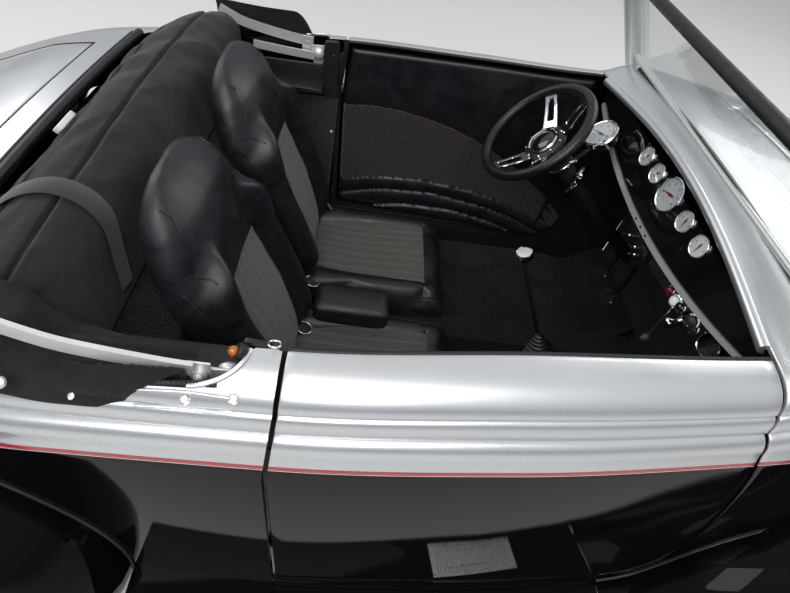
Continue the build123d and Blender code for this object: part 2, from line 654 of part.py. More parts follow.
def rim(center_y, axle_x, center_z, rim_r, width, side):
    """Barrel and five-spoke centre of one wheel."""
    half = width / 2
    with BuildPart() as wheel:
        with BuildSketch(Plane(origin=(axle_x, center_y, center_z), x_dir=(0, side, 0), z_dir=(1, 0, 0))):
            with BuildLine():
                Polyline(
                    (-half, rim_r - 18), (half, rim_r - 18), (half, rim_r + 10), (half - 10, rim_r + 10),
                    (half - 10, rim_r), (-half + 10, rim_r), (-half + 10, rim_r + 10), (-half, rim_r + 10),
                    close=True,
                )
            make_face()
        revolve(axis=Axis((axle_x, center_y, center_z), (0, 1, 0)))
        face = Plane(origin=(axle_x, center_y + side * (half - 50), center_z), z_dir=(0, side, 0))
        with BuildSketch(face) as spokes:
            with PolarLocations((30 + rim_r - 10) / 2, SPOKE_COUNT, start_angle=90):
                Rectangle(rim_r - 40, SPOKE_WIDTH)
        extrude(spokes.sketch, amount=24)
        disc(face, 62, 34)
        hub = Plane(origin=(axle_x, center_y - side * 40, center_z), z_dir=(0, side, 0))
        disc(hub, 40, half - 10 + 40 - 40)
        disc(hub, 18.05, 60, Mode.SUBTRACT)
    return wheel.part


def tyre(center_y, axle_x, radius, width, rim_r):
    """A closed tyre body with rounded shoulders."""
    half = width / 2
    inner = rim_r + 0.0
    with BuildPart() as wheel:
        with BuildSketch(Plane(origin=(axle_x, center_y, radius), x_dir=(0, 1, 0), z_dir=(1, 0, 0))):
            with BuildLine():
                Polyline((half - 30, radius), (-half + 30, radius))
                ThreePointArc((-half + 30, radius), (-half + 8, radius - 10), (-half, radius - 34))
                Line((-half, radius - 34), (-half + 11, inner + 11))
                Line((-half + 11, inner + 11), (-half + 11, inner))
                Line((-half + 11, inner), (half - 11, inner))
                Line((half - 11, inner), (half - 11, inner + 11))
                Line((half - 11, inner + 11), (half, radius - 34))
                ThreePointArc((half, radius - 34), (half - 8, radius - 10), (half - 30, radius))
            make_face()
        revolve(axis=Axis((axle_x, center_y, radius), (0, 1, 0)))
    return wheel.part


# Wheels. Columns: name, axle x, tyre radius, tyre width, track, rim radius.
AXLES = (
    ("front", FRONT_AXLE_X, FRONT_TYRE_R, FRONT_TYRE_W, FRONT_TRACK_Y, FRONT_RIM_R),
    ("rear", REAR_AXLE_X, REAR_TYRE_R, REAR_TYRE_W, REAR_TRACK_Y, REAR_RIM_R),
)
for end, axle_x, radius, width, track_y, rim_r in AXLES:
    for label, side in SIDES:
        write(rim(side * track_y, axle_x, radius, rim_r, width, side), f"rim_{end}_{label}")
        write(tyre(side * track_y, axle_x, radius, width, rim_r), f"tyre_{end}_{label}")

# Front axle: a dropped tube with an eye at each end for the king pin, and its cross spring.
AXLE_Z = 255.0
EYE_HALF = 30.0
with BuildPart() as front_axle:
    bar((FRONT_AXLE_X, -KINGPIN_Y, AXLE_Z), (FRONT_AXLE_X, KINGPIN_Y, AXLE_Z), 24)
    for _, side in SIDES:
        eye = Plane.XY.offset(AXLE_Z - EYE_HALF).move(Location((FRONT_AXLE_X, side * KINGPIN_Y, 0)))
        disc(eye, 25, 2 * EYE_HALF)
        disc(eye, KINGPIN_R + PIN_CLEARANCE, 2 * EYE_HALF, Mode.SUBTRACT)
    for y in (-430, 430):
        block(FRONT_AXLE_X - 22, FRONT_AXLE_X + 22, y - 12, y + 12, AXLE_Z, 300)
    with BuildSketch(Plane.YZ.offset(FRONT_AXLE_X - 22)):
        with BuildLine():
            ThreePointArc((-442, 306), (0, 350), (442, 306))
            Line((442, 306), (442, 292))
            ThreePointArc((442, 292), (0, 336), (-442, 292))
            Line((-442, 292), (-442, 306))
        make_face()
    extrude(amount=44)
write(front_axle.part, "front_axle")

# Steering knuckles: a yoke around the axle's eye, its king pin, spindle and steering arm.
ARM_X = -125.0
ARM_Z = 205.0
LUG = 14.0
GAP = 1.0
for label, side in SIDES:
    with BuildPart() as knuckle:
        pin_y = side * KINGPIN_Y
        low = AXLE_Z - EYE_HALF - GAP - LUG
        high = AXLE_Z + EYE_HALF + GAP
        for z in (low, high):
            with BuildSketch(Plane.XY.offset(z)):
                with Locations((FRONT_AXLE_X, pin_y)):
                    Circle(22)
                with Locations((FRONT_AXLE_X, pin_y + side * 20)):
                    Rectangle(36, 40)
            extrude(amount=LUG)
        y_low, y_high = sorted((pin_y + side * 28, pin_y + side * 42))
        block(FRONT_AXLE_X - 24, FRONT_AXLE_X + 24, y_low, y_high, low, high + LUG + 24)
        pin_foot = Plane(origin=(FRONT_AXLE_X, pin_y, low), z_dir=(0, 0, 1))
        disc(pin_foot, KINGPIN_R, high - low)
        spindle = Plane(origin=(FRONT_AXLE_X, pin_y + side * 42, FRONT_TYRE_R), z_dir=(0, side, 0))
        disc(spindle, 18, FRONT_TRACK_Y - KINGPIN_Y - 42 + 18)
        bar((FRONT_AXLE_X, pin_y, low + 4), (FRONT_AXLE_X + ARM_X, pin_y, ARM_Z + 6), 9)
        disc(Plane(origin=(FRONT_AXLE_X + ARM_X, pin_y, ARM_Z), z_dir=(0, 0, 1)), 14, 12)
        disc(Plane(origin=(FRONT_AXLE_X + ARM_X, pin_y, ARM_Z - 24), z_dir=(0, 0, 1)), 6, 24)
    write(knuckle.part, f"knuckle_{label}")

with BuildPart() as tie_rod:
    rod_x = FRONT_AXLE_X + ARM_X
    bar((rod_x, -KINGPIN_Y + 12, ARM_Z - 14), (rod_x, KINGPIN_Y - 12, ARM_Z - 14), 8)
    for _, side in SIDES:
        disc(Plane(origin=(rod_x, side * KINGPIN_Y, ARM_Z - 23), z_dir=(0, 0, 1)), 15, 18)
    for _, side in SIDES:
        disc(Plane(origin=(rod_x, side * KINGPIN_Y, ARM_Z - 30), z_dir=(0, 0, 1)), 6.1 if side > 0 else 8.0, 40, Mode.SUBTRACT)
write(tie_rod.part, "tie_rod")

# Rear axle: housing, differential, wheel stubs, spring units up to the frame, and drive shaft.
SHAFT_Z = 338.0
SHAFT_R = 27.0
with BuildPart() as rear_axle:
    bar((REAR_AXLE_X, -585, REAR_TYRE_R), (REAR_AXLE_X, 585, REAR_TYRE_R), 36)
    bar((REAR_AXLE_X, -REAR_TRACK_Y + 18, REAR_TYRE_R), (REAR_AXLE_X, REAR_TRACK_Y - 18, REAR_TYRE_R), 18)
    with Locations((REAR_AXLE_X, 0, REAR_TYRE_R)):
        Sphere(115)
    for _, side in SIDES:
        bar((REAR_AXLE_X + 60, side * 380, REAR_TYRE_R), (REAR_AXLE_X + 190, side * 380, 540), 28)
        bar((REAR_AXLE_X, side * 380, REAR_TYRE_R), (REAR_AXLE_X + 70, side * 380, REAR_TYRE_R + 10), 20)
    bar((REAR_AXLE_X + 80, 0, REAR_TYRE_R), (494, 0, SHAFT_Z), SHAFT_R)
    add(frame.part, mode=Mode.SUBTRACT)
write(rear_axle.part, "rear_axle")

# Power unit as one plain block with its gearbox, and the shaft to the rear axle.
with BuildPart() as engine:
    block(640, 1300, -230, 230, 346, 900)
    block(496, 640, -150, 150, 346, 620)
write(engine.part, "engine")

with BuildPart() as exhaust:
    for _, side in SIDES:
        with BuildLine():
            path = FilletPolyline(
                (1000, side * 262, 430), (900, side * 262, 215), (-900, side * 262, 215),
                (-1150, side * 262, 225), radius=(80, 200),
            )
        with BuildSketch(Plane(origin=path @ 0, z_dir=path % 0)):
            Circle(26)
        sweep()
        bar((-100, side * 262, 215), (-600, side * 262, 215), 44)
write(exhaust.part, "exhaust")

with BuildPart() as fuel_tank:
    block(-1800, -1545, -290, 290, 320, 440)
write(fuel_tank.part, "fuel_tank")
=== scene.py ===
from math import atan2, cos, hypot, pi, radians, sin, sqrt, tau

import bmesh
import bpy
from mathutils import Matrix, Vector, noise


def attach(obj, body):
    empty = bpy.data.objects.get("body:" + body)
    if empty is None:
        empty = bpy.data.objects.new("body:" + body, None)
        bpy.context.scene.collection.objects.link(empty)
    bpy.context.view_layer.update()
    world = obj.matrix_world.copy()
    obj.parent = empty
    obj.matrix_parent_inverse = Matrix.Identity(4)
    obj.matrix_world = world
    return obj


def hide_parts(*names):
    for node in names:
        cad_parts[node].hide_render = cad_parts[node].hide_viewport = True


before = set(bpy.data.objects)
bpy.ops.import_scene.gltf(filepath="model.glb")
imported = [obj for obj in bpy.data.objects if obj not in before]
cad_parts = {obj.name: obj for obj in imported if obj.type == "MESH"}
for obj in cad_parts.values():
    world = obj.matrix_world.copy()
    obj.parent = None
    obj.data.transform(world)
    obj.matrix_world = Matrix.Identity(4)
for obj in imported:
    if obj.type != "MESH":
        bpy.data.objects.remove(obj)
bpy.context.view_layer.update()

# Camera. It stands a little above the passenger side and looks down across the door
# into the cab, turned a little forward and rolled, as a person holding a camera does.
EYE = (-0.6013, -1.0534, 1.7871)
YAW, PITCH, ROLL = radians(5.18), radians(42.51), radians(11.43)
ahead = Vector((sin(YAW) * cos(PITCH), cos(YAW) * cos(PITCH), -sin(PITCH)))
level = Vector((cos(YAW), -sin(YAW), 0))
square = level.cross(ahead)
across = level * cos(ROLL) + square * sin(ROLL)
upward = square * cos(ROLL) - level * sin(ROLL)
camera = bpy.data.objects.new("camera", bpy.data.cameras.new("camera"))
camera.data.sensor_width = 36
camera.data.lens = 23.67
camera.data.shift_x = 0.0242
camera.data.shift_y = -0.0972
camera.data.clip_start = 0.02
camera.matrix_world = Matrix.Translation(EYE) @ Matrix((across, upward, -ahead)).transposed().to_4x4()
bpy.context.scene.collection.objects.link(camera)
bpy.context.scene.camera = camera
bpy.context.scene.view_settings.view_transform = "Standard"

# Studio. Wide soft lamps overhead and at the sides, and a sky dome that is bright above
# and darker towards the horizon, so that paint and plating have something to mirror.
LAMPS = (
    ("key_lamp", (-1.2, -3.2, 4.6), (0.0, 0.0, 0.6), 3.6, 185),
    ("fill_lamp", (3.6, 2.6, 4.2), (0.2, 0.0, 0.6), 3.2, 90),
    ("rear_lamp", (-4.4, 1.8, 3.6), (-0.6, 0.0, 0.6), 3.0, 75),
)
for lamp_name, stand, target, width, watts in LAMPS:
    lamp = bpy.data.objects.new(lamp_name, bpy.data.lights.new(lamp_name, "AREA"))
    lamp.data.shape = "SQUARE"
    lamp.data.size = width
    lamp.data.energy = watts
    lamp.location = stand
    lamp.rotation_euler = (Vector(target) - Vector(stand)).to_track_quat("-Z", "Y").to_euler()
    bpy.context.scene.collection.objects.link(lamp)


def place(tree, kind, sockets=None, **settings):
    """Adds one shader node, with its sockets set to constants or joined to other nodes."""
    made = tree.nodes.new("ShaderNode" + kind)
    for key, value in settings.items():
        setattr(made, key, value)
    for socket, value in (sockets or {}).items():
        if isinstance(value, bpy.types.NodeSocket):
            tree.links.new(value, made.inputs[socket])
        else:
            made.inputs[socket].default_value = value
    return made


def ramp(tree, amount, stops):
    """A colour ramp from a list of (place, grey or colour)."""
    made = place(tree, "ValToRGB", {"Fac": amount})
    bar = made.color_ramp.elements
    while len(bar) < len(stops):
        bar.new(0.5)
    for element, (where, tone) in zip(bar, stops):
        element.position = where
        element.color = (*tone, 1) if isinstance(tone, tuple) else (tone, tone, tone, 1)
    return made.outputs["Color"]


sky = bpy.data.worlds.new("studio_sky")
sky.use_nodes = True
bpy.context.scene.world = sky
dome = sky.node_tree
rise = place(dome, "SeparateXYZ", {0: place(dome, "TexCoord").outputs["Generated"]}).outputs["Z"]
tones = ramp(
    dome, rise,
    (
        (0.0, (0.36, 0.37, 0.39)), (0.12, (0.46, 0.48, 0.52)), (0.45, (0.80, 0.83, 0.90)),
        (0.8, (1.0, 1.0, 1.0))
    )
)
dome.links.new(tones, dome.nodes["Background"].inputs["Color"])
dome.nodes["Background"].inputs["Strength"].default_value = 0.70

# Studio floor: a plain pale matt sheet that the car stands on.
FLOOR_REACH = 80.0
floor_sheet = bpy.data.meshes.new("studio_floor")
floor_sheet.from_pydata(
    [
        (x * FLOOR_REACH, y * FLOOR_REACH, 0) for x, y in ((-1, -1), (1, -1), (1, 1), (-1, 1))
    ], [], [(0, 1, 2, 3)]
)
studio_floor = bpy.data.objects.new("studio_floor", floor_sheet)
bpy.context.scene.collection.objects.link(studio_floor)
floor_paint = bpy.data.materials.new("studio_floor")
floor_paint.use_nodes = True
floor_shader = floor_paint.node_tree.nodes["Principled BSDF"]
floor_shader.inputs["Base Color"].default_value = (0.62, 0.62, 0.61, 1)
floor_shader.inputs["Roughness"].default_value = 0.8
floor_sheet.materials.append(floor_paint)

# Paint. Silver with a fine metal flake above the belt, deep gloss black below, parted by a
# red coach line with a thin pale line under it, all beneath one clear lacquer.


def new_group(name, inputs, outputs):
    """An empty shader node group with float inputs and the outputs asked for."""
    group = bpy.data.node_groups.new(name, "ShaderNodeTree")
    for socket, value in inputs:
        made = group.interface.new_socket(name=socket, in_out="INPUT", socket_type="NodeSocketFloat")
        made.default_value = value
    for socket, kind in outputs:
        group.interface.new_socket(name=socket, in_out="OUTPUT", socket_type=kind)
    return group, group.nodes.new("NodeGroupInput").outputs, group.nodes.new("NodeGroupOutput").inputs


def math_node(tree, operation, first, second=0.5, third=0.5):
    """One sum on values that vary over the surface."""
    return place(tree, "Math", {0: first, 1: second, 2: third}, operation=operation).outputs[0]


def between(tree, value, low, high, soft):
    """A mask that is 1 where the value lies between two limits, with soft edges."""
    up = remap(tree, value, low - soft, low + soft)
    down = remap(tree, value, high - soft, high + soft)
    return math_node(tree, "SUBTRACT", up, down)


def blend_colors(tree, mask, first, second):
    """The first colour where the mask is 0 and the second where it is 1."""
    return place(tree, "Mix", {"Factor": mask, "A": first, "B": second}, data_type="RGBA").outputs["Result"]


def remap(tree, value, from_min=0.0, from_max=1.0, to_min=0.0, to_max=1.0):
    """A value moved from one range into another, and held inside it."""
    sockets = {"Value": value, "From Min": from_min, "From Max": from_max, "To Min": to_min, "To Max": to_max}
    return place(tree, "MapRange", sockets).outputs[0]


def texture(tree, kind, scale, output="Fac", settings=None, **sockets):
    """A texture laid in object space."""
    sockets = {key.replace("_", " "): value for key, value in sockets.items()}
    sockets["Vector"] = place(tree, "TexCoord").outputs["Object"]
    return place(tree, "Tex" + kind, {**sockets, "Scale": scale}, **(settings or {})).outputs[output]


def emboss(tree, shader, strength, distance, height, **under):
    """Raises the surface by a height that varies over it, on top of an earlier normal if given."""
    bump = place(tree, "Bump", {"Strength": strength, "Distance": distance, "Height": height, **under})
    tree.links.new(bump.outputs["Normal"], shader.inputs["Normal"])


def tint(tree, shader, mask, first, second):
    """Colours the surface from the first tone to the second by a mask."""
    tree.links.new(blend_colors(tree, mask, (*first, 1), (*second, 1)), shader.inputs["Base Color"])


handling, handling_in, handling_out = new_group(
    "handling_marks",
    (("Scale", 9.0), ("Low", 0.1), ("High", 0.2)),
    (("Value", "NodeSocketFloat"), ("Height", "NodeSocketFloat")),
)
cloud = texture(handling, "Noise", handling_in["Scale"], Detail=5.0, Roughness=0.6)
spread = remap(handling, cloud, 0.35, 0.7, handling_in["Low"], handling_in["High"])
handling.links.new(spread, handling_out["Value"])
peel = texture(handling, "Noise", 160.0, Detail=2.0)
handling.links.new(peel, handling_out["Height"])

flake, _, flake_out = new_group(
    "metal_flake", (), (("Shade", "NodeSocketFloat"), ("Normal", "NodeSocketVector"))
)
spot = place(flake, "TexCoord").outputs["Object"]
cells = place(flake, "TexVoronoi", {"Vector": spot, "Scale": 1500.0})
flake.links.new(place(flake, "SeparateXYZ", {0: cells.outputs["Color"]}).outputs["X"], flake_out["Shade"])
tilted = place(flake, "Bump", {"Strength": 0.02, "Distance": 0.0003, "Height": cells.outputs["Distance"]})
flake.links.new(tilted.outputs["Normal"], flake_out["Normal"])


def use_group(tree, group, **values):
    """Places one of the shared effects in a material."""
    made = tree.nodes.new("ShaderNodeGroup")
    made.node_tree = group
    for socket, value in values.items():
        if isinstance(value, bpy.types.NodeSocket):
            tree.links.new(value, made.inputs[socket])
        else:
            made.inputs[socket].default_value = value
    return made.outputs


def new_finish(name, slot_name, color, roughness, metallic=0.0, wear=(), **sockets):
    """A material whose one shader has these constants; its slot name is not used. Handling
    marks may vary its roughness, from their scale and two limits. Returns tree and shader too."""
    material = bpy.data.materials.new(name)
    material.use_nodes = True
    shader = material.node_tree.nodes["Principled BSDF"]
    shader.inputs["Base Color"].default_value = (*color, 1)
    shader.inputs["Roughness"].default_value = roughness
    shader.inputs["Metallic"].default_value = metallic
    for socket, value in sockets.items():
        shader.inputs[socket.replace("_", " ")].default_value = value
    if wear:
        marks = use_group(material.node_tree, handling, Scale=wear[0], Low=wear[1], High=wear[2])
        material.node_tree.links.new(marks["Value"], shader.inputs["Roughness"])
    return material, material.node_tree, shader


SILVER = (0.62, 0.635, 0.65)
GLOSS_BLACK = (0.0025, 0.0026, 0.0032)
COACH_RED = (0.42, 0.012, 0.02)
PALE_LINE = (0.62, 0.56, 0.55)
RED_LINE = (0.0005, 0.0085)
THIN_LINE = (-0.0045, -0.0022)


def silver_paint(name, two_tone):
    """Silver paint, or silver above black with the coach lines where the belt is marked."""
    material, tree, shader = new_finish(
        name, "body_paint", SILVER, 0.3, 0.85, Specular_IOR_Level=0.06, Coat_Weight=1.0, Coat_Roughness=0.03
    )
    speck = use_group(tree, flake)
    grain = remap(tree, speck["Shade"], to_min=0.94, to_max=1.05)
    silver = place(
        tree, "Mix", {"Factor": 1.0, "A": (*SILVER, 1), "B": (1, 1, 1, 1)}, data_type="RGBA",
        blend_type="MULTIPLY"
    )
    tree.links.new(place(tree, "CombineColor", {0: grain, 1: grain, 2: grain}).outputs[0], silver.inputs["B"])
    color = silver.outputs["Result"]
    marks = use_group(tree, handling, Scale=6.0, Low=0.27, High=0.34)
    tree.links.new(speck["Normal"], shader.inputs["Normal"])
    if two_tone:
        above = place(tree, "Attribute", attribute_name="above_belt").outputs["Fac"]
        is_silver = remap(tree, above, 0.0, 0.0002)
        color = blend_colors(tree, is_silver, (*GLOSS_BLACK, 1), color)
        color = blend_colors(tree, between(tree, above, *RED_LINE, 0.0003), color, (*COACH_RED, 1))
        pale = between(tree, above, *THIN_LINE, 0.0003)
        color = blend_colors(tree, pale, color, (*PALE_LINE, 1))
        metal = remap(tree, above, RED_LINE[1], RED_LINE[1] + 0.0002, to_max=0.85)
        tree.links.new(metal, shader.inputs["Metallic"])
        lacquer = use_group(tree, handling, Scale=7.0, Low=0.02, High=0.05)["Value"]
        rough = place(tree, "Mix", {"Factor": is_silver, "A": lacquer, "B": marks["Value"]}).outputs["Result"]
        coat = remap(tree, is_silver, to_min=0.11, to_max=0.9)
        tree.links.new(coat, shader.inputs["Coat Weight"])
        tree.links.new(rough, shader.inputs["Roughness"])
    else:
        tree.links.new(marks["Value"], shader.inputs["Roughness"])
    tree.links.new(color, shader.inputs["Base Color"])
    return material


two_tone_paint = silver_paint("two_tone_paint", True)
plain_silver = silver_paint("silver_paint", False)
gloss_black = new_finish(
    "gloss_black_paint", "black_paint", GLOSS_BLACK, 0.04, Specular_IOR_Level=0.04, Coat_Weight=0.13,
    Coat_Roughness=0.01, wear=(6.0, 0.02, 0.06)
)[0]

# Body. Pressed panels over one smooth form: a near upright black side, a flat strip, two
# stepped beads and a rounded cap that runs round the cab at elbow height.
# Columns: x, half width and height of foot, belt and top edge, height on the centre line.
BODY_STATIONS = (
    (-1.950, 0.345, 0.480, 0.380, 0.690, 0.270, 0.775, 0.792),
    (-1.710, 0.500, 0.420, 0.545, 0.765, 0.410, 0.905, 0.925),
    (-1.395, 0.665, 0.350, 0.668, 0.830, 0.500, 0.990, 1.008),
    (-1.060, 0.728, 0.310, 0.711, 0.862, 0.560, 1.015, 1.035),
    (-0.660, 0.745, 0.310, 0.715, 0.894, 0.589, 1.050, 1.060),
    (-0.244, 0.722, 0.310, 0.692, 0.918, 0.557, 1.077, 1.087),
    (0.173, 0.678, 0.310, 0.642, 0.943, 0.526, 1.103, 1.112),
    (0.270, 0.664, 0.310, 0.628, 0.950, 0.518, 1.146, 1.172),
    (0.490, 0.612, 0.350, 0.585, 0.955, 0.455, 1.135, 1.168),
)
# Shares of the inward run and of the rise at the top of the strip, the two beads and the cap.
BELT_STEPS = ((0.045, 0.19), (0.214, 0.434), (0.326, 0.673), (1.0, 1.0))
SIDE_SWELL = 0.005
SIDE_STEPS = 28
BEAD_STEPS = 7
TOP_STEPS = 10
SHEET_DEPTH = 0.016


def smooth_row(table, x):
    """The section values at one station, run smoothly through the table without overshoot."""
    x = min(max(x, table[0][0]), table[-1][0])
    k = max(i for i in range(len(table) - 1) if table[i][0] <= x)
    low, high = table[k], table[k + 1]
    span = high[0] - low[0]
    t = (x - low[0]) / span

    def lean(i, column):
        if i == 0 or i == len(table) - 1:
            j = min(i, len(table) - 2)
            return (table[j + 1][column] - table[j][column]) / (table[j + 1][0] - table[j][0])
        before = (table[i][column] - table[i - 1][column]) / (table[i][0] - table[i - 1][0])
        after = (table[i + 1][column] - table[i][column]) / (table[i + 1][0] - table[i][0])
        return 0.0 if before * after <= 0 else 2 * before * after / (before + after)

    row = []
    for column in range(1, len(low)):
        a, b = low[column], high[column]
        m, n = lean(k, column) * span, lean(k + 1, column) * span
        falling, rising = (1 - t) ** 2, t * t
        row.append(
            a * (1 + 2 * t) * falling + m * t * falling + b * rising * (3 - 2 * t) + n * rising * (t - 1)
        )
    return row


def body_profile(table, x, low_z=None, with_top=True):
    """Half section from foot to centre line, as (y, z, height above the belt along the skin)."""
    foot_y, foot_z, belt_y, belt_z, top_y, top_z, crown_z = smooth_row(table, x)
    start = 0.0 if low_z is None else (low_z - foot_z) / (belt_z - foot_z)
    line = []
    for k in range(SIDE_STEPS + 1):
        t = start + (1 - start) * k / SIDE_STEPS
        y = foot_y + (belt_y - foot_y) * t + SIDE_SWELL * 4 * t * (1 - t)
        line.append((y, foot_z + (belt_z - foot_z) * t, foot_z + (belt_z - foot_z) * t - belt_z))
    run, gain = belt_y - top_y, top_z - belt_z
    y0, z0, height = belt_y, belt_z, 0.0
    for number, (in_share, up_share) in enumerate(BELT_STEPS):
        y1, z1 = belt_y - run * in_share, belt_z + gain * up_share
        steps = 2 if number == 0 else BEAD_STEPS * (2 if number == 3 else 1)
        for k in range(1, steps + 1):
            turn = pi / 2 * k / steps
            if number == 0:
                y, z = y0 + (y1 - y0) * k / steps, z0 + (z1 - z0) * k / steps
            else:
                y, z = y0 + (y1 - y0) * (1 - cos(turn)), z0 + (z1 - z0) * sin(turn)
            height += hypot(y - line[-1][0], z - line[-1][1])
            line.append((y, z, height))
        y0, z0 = y1, z1
    if with_top:
        for k in range(1, TOP_STEPS + 1):
            y = top_y * (1 - k / TOP_STEPS)
            z = top_z + (crown_z - top_z) * (1 - (y / top_y) ** 2)
            height += top_y / TOP_STEPS
            line.append((y, z, height))
    return line


def line_through(points):
    """A broken line: the value at any place between the first and last point."""

    def value(place_on_line):
        if place_on_line <= points[0][0]:
            return points[0][1]
        for (a, fa), (b, fb) in zip(points, points[1:]):
            if place_on_line <= b:
                return fa + (fb - fa) * (place_on_line - a) / (b - a)
        return points[-1][1]

    return value


def three_point_arc(start, middle, end, steps):
    """Points along the arc through three points."""
    (ax, ay), (bx, by), (cx, cy) = start, middle, end
    d = 2 * (ax * (by - cy) + bx * (cy - ay) + cx * (ay - by))
    a2, b2, c2 = ax * ax + ay * ay, bx * bx + by * by, cx * cx + cy * cy
    ox = (a2 * (by - cy) + b2 * (cy - ay) + c2 * (ay - by)) / d
    oy = (a2 * (cx - bx) + b2 * (ax - cx) + c2 * (bx - ax)) / d
    first, mid, last = (atan2(y - oy, x - ox) for x, y in (start, middle, end))
    sweep, part = (last - first) % tau, (mid - first) % tau
    if part > sweep:
        sweep -= tau
    radius = hypot(ax - ox, ay - oy)
    return [
        (ox + radius * cos(first + sweep * k / steps), oy + radius * sin(first + sweep * k / steps))
        for k in range(steps + 1)
    ]


def mesh_object(name, verts, faces):
    """An object in the scene from points and faces."""
    mesh = bpy.data.meshes.new(name)
    mesh.from_pydata([tuple(v) for v in verts], [], faces)
    made = bpy.data.objects.new(name, mesh)
    bpy.context.scene.collection.objects.link(made)
    return made


def face_outward(mesh):
    """Turns every face of a closed mesh outwards."""
    work = bmesh.new()
    work.from_mesh(mesh)
    bmesh.ops.recalc_face_normals(work, faces=work.faces)
    work.to_mesh(mesh)
    work.free()


def new_piece(name, verts, faces, material, nodes=(), smooth=32, **home):
    """Makes a mesh piece that rides on a body and takes the finish given."""
    piece = mesh_object(name, verts, faces)
    piece.data.validate()
    return dress(piece, material, nodes, smooth, **home)


def dress(piece, material, nodes=(), smooth=32, body="chassis", slot_name=None):
    """Closes a piece off: outward faces, smooth shading with crisp edges, finish and place."""
    face_outward(piece.data)
    if smooth:
        piece.data.shade_smooth()
        piece.data.set_sharp_from_angle(angle=radians(smooth))
    if not piece.data.materials:
        piece.data.materials.append(material)
    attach(piece, body)
    if nodes:
        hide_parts(*nodes)
    return piece


def shell_faces(columns, rows):
    """Faces of an outer and an inner sheet of columns by rows points, joined round the rim."""
    count = columns * rows
    faces = []
    for i in range(columns - 1):
        for j in range(rows - 1):
            a, b, c, d = i * rows + j, (i + 1) * rows + j, (i + 1) * rows + j + 1, i * rows + j + 1
            faces += [(a, b, c, d), (count + a, count + d, count + c, count + b)]
    rim = [i * rows for i in range(columns)] + [(columns - 1) * rows + j for j in range(1, rows)]
    rim += [i * rows + rows - 1 for i in range(columns - 2, -1, -1)] + [j for j in range(rows - 2, 0, -1)]
    faces += [(a, b, count + b, count + a) for a, b in zip(rim, rim[1:] + rim[:1])]
    return faces


def turn_rim(outer, inner, heights, edge):
    """Adds a softly rounded rim to both grids: three close lines at each end of every row."""
    made = [], [], []
    for near, next_, under, marks in ((0, 1, inner[0], 0), (-1, -2, inner[-1], -1)):
        lines = [], [], []
        for along, deep in ((0.0, 1.0), (0.3, 0.3), (1.0, 0.0)):
            column, column_in = [], []
            for p, q, low in zip(outer[near], outer[next_], under):
                run = (q - p).normalized() * edge
                sink = (low - p).normalized() * edge
                column.append(p + run * along + sink * deep)
                column_in.append(low + run * along)
            lines[0].append(column)
            lines[1].append(column_in)
            lines[2].append(list(heights[marks]))
        made[0].append(lines[0])
        made[1].append(lines[1])
        made[2].append(lines[2])
    return tuple(
        first + grid[1:-1] + last[::-1]
        for (first, last), grid in zip(made, (outer, inner, heights))
    )


def flipped(grid):
    """Rows as columns."""
    return [list(line) for line in zip(*grid)]


INSIDE = -0.3


def grid_object(name, outer, inner, heights):
    """An object from an outer and an inner grid, marked with its height above the belt."""
    made = mesh_object(
        name, [p for column in outer + inner for p in column], shell_faces(len(outer), len(outer[0]))
    )
    if heights:
        marks = made.data.attributes.new("above_belt", "FLOAT", "POINT")
        line = [h for column in heights for h in column]
        marks.data.foreach_set("value", line + [INSIDE] * len(line))
    return made


def shell(name, outer, inner, material, nodes=(), heights=None, edge=0.0015, smooth=50, **home):
    """A sheet with thickness from two grids of points, its rim softly rounded."""
    heights = heights or [[0.0] * len(outer[0])] * len(outer)
    if edge:
        outer, inner, heights = turn_rim(outer, inner, heights, edge)
        outer, inner, heights = (
            flipped(grid) for grid in turn_rim(*(flipped(g) for g in (outer, inner, heights)), edge)
        )
    piece = grid_object(name, outer, inner, heights if any(any(line) for line in heights) else None)
    return dress(piece, material, nodes, smooth, **home)


def crown_height(x, y):
    """Height of the body's crowned top at a place in plan."""
    _, _, _, _, top_y, top_z, crown_z = smooth_row(BODY_STATIONS, x)
    return top_z + (crown_z - top_z) * (1 - min(1.0, abs(y) / top_y) ** 2)


def bake_modifiers(piece):
    """Applies every modifier, so that the mesh itself has the shape."""
    shaped = bpy.data.meshes.new_from_object(piece.evaluated_get(bpy.context.evaluated_depsgraph_get()))
    piece.modifiers.clear()
    piece.data = shaped
    return piece


def panel_grid(table, side, rear_edge, front_edge, columns, low_z=None, with_top=False, inset=SHEET_DEPTH):
    """Outer and inner points of a body panel between two edges given as x for each height."""
    rows = len(body_profile(table, 0.0, low_z, with_top))
    outer, inner, heights = [], [], []
    for i in range(columns + 1):
        share = i / columns
        column, under, marks = [], [], []
        for j in range(rows):
            ends = []
            for edge in (rear_edge, front_edge):
                x = edge(0.7)
                for _ in range(4):
                    x = edge(body_profile(table, x, low_z, with_top)[j][1])
                ends.append(x)
            x = ends[0] + (ends[1] - ends[0]) * share
            y, z, mark = body_profile(table, x, low_z, with_top)[j]
            column.append(Vector((x, side * y, z)))
            marks.append(mark)
            turn = pi / 2 * max(0, j - SIDE_STEPS - 2) / max(1, rows - SIDE_STEPS - 3)
            under.append(Vector((x, side * (y - inset * cos(turn)), z - inset * sin(turn))))
        outer.append(column)
        inner.append(under)
        heights.append(marks)
    return outer, inner, heights


SIDES = (("left", 1), ("right", -1))
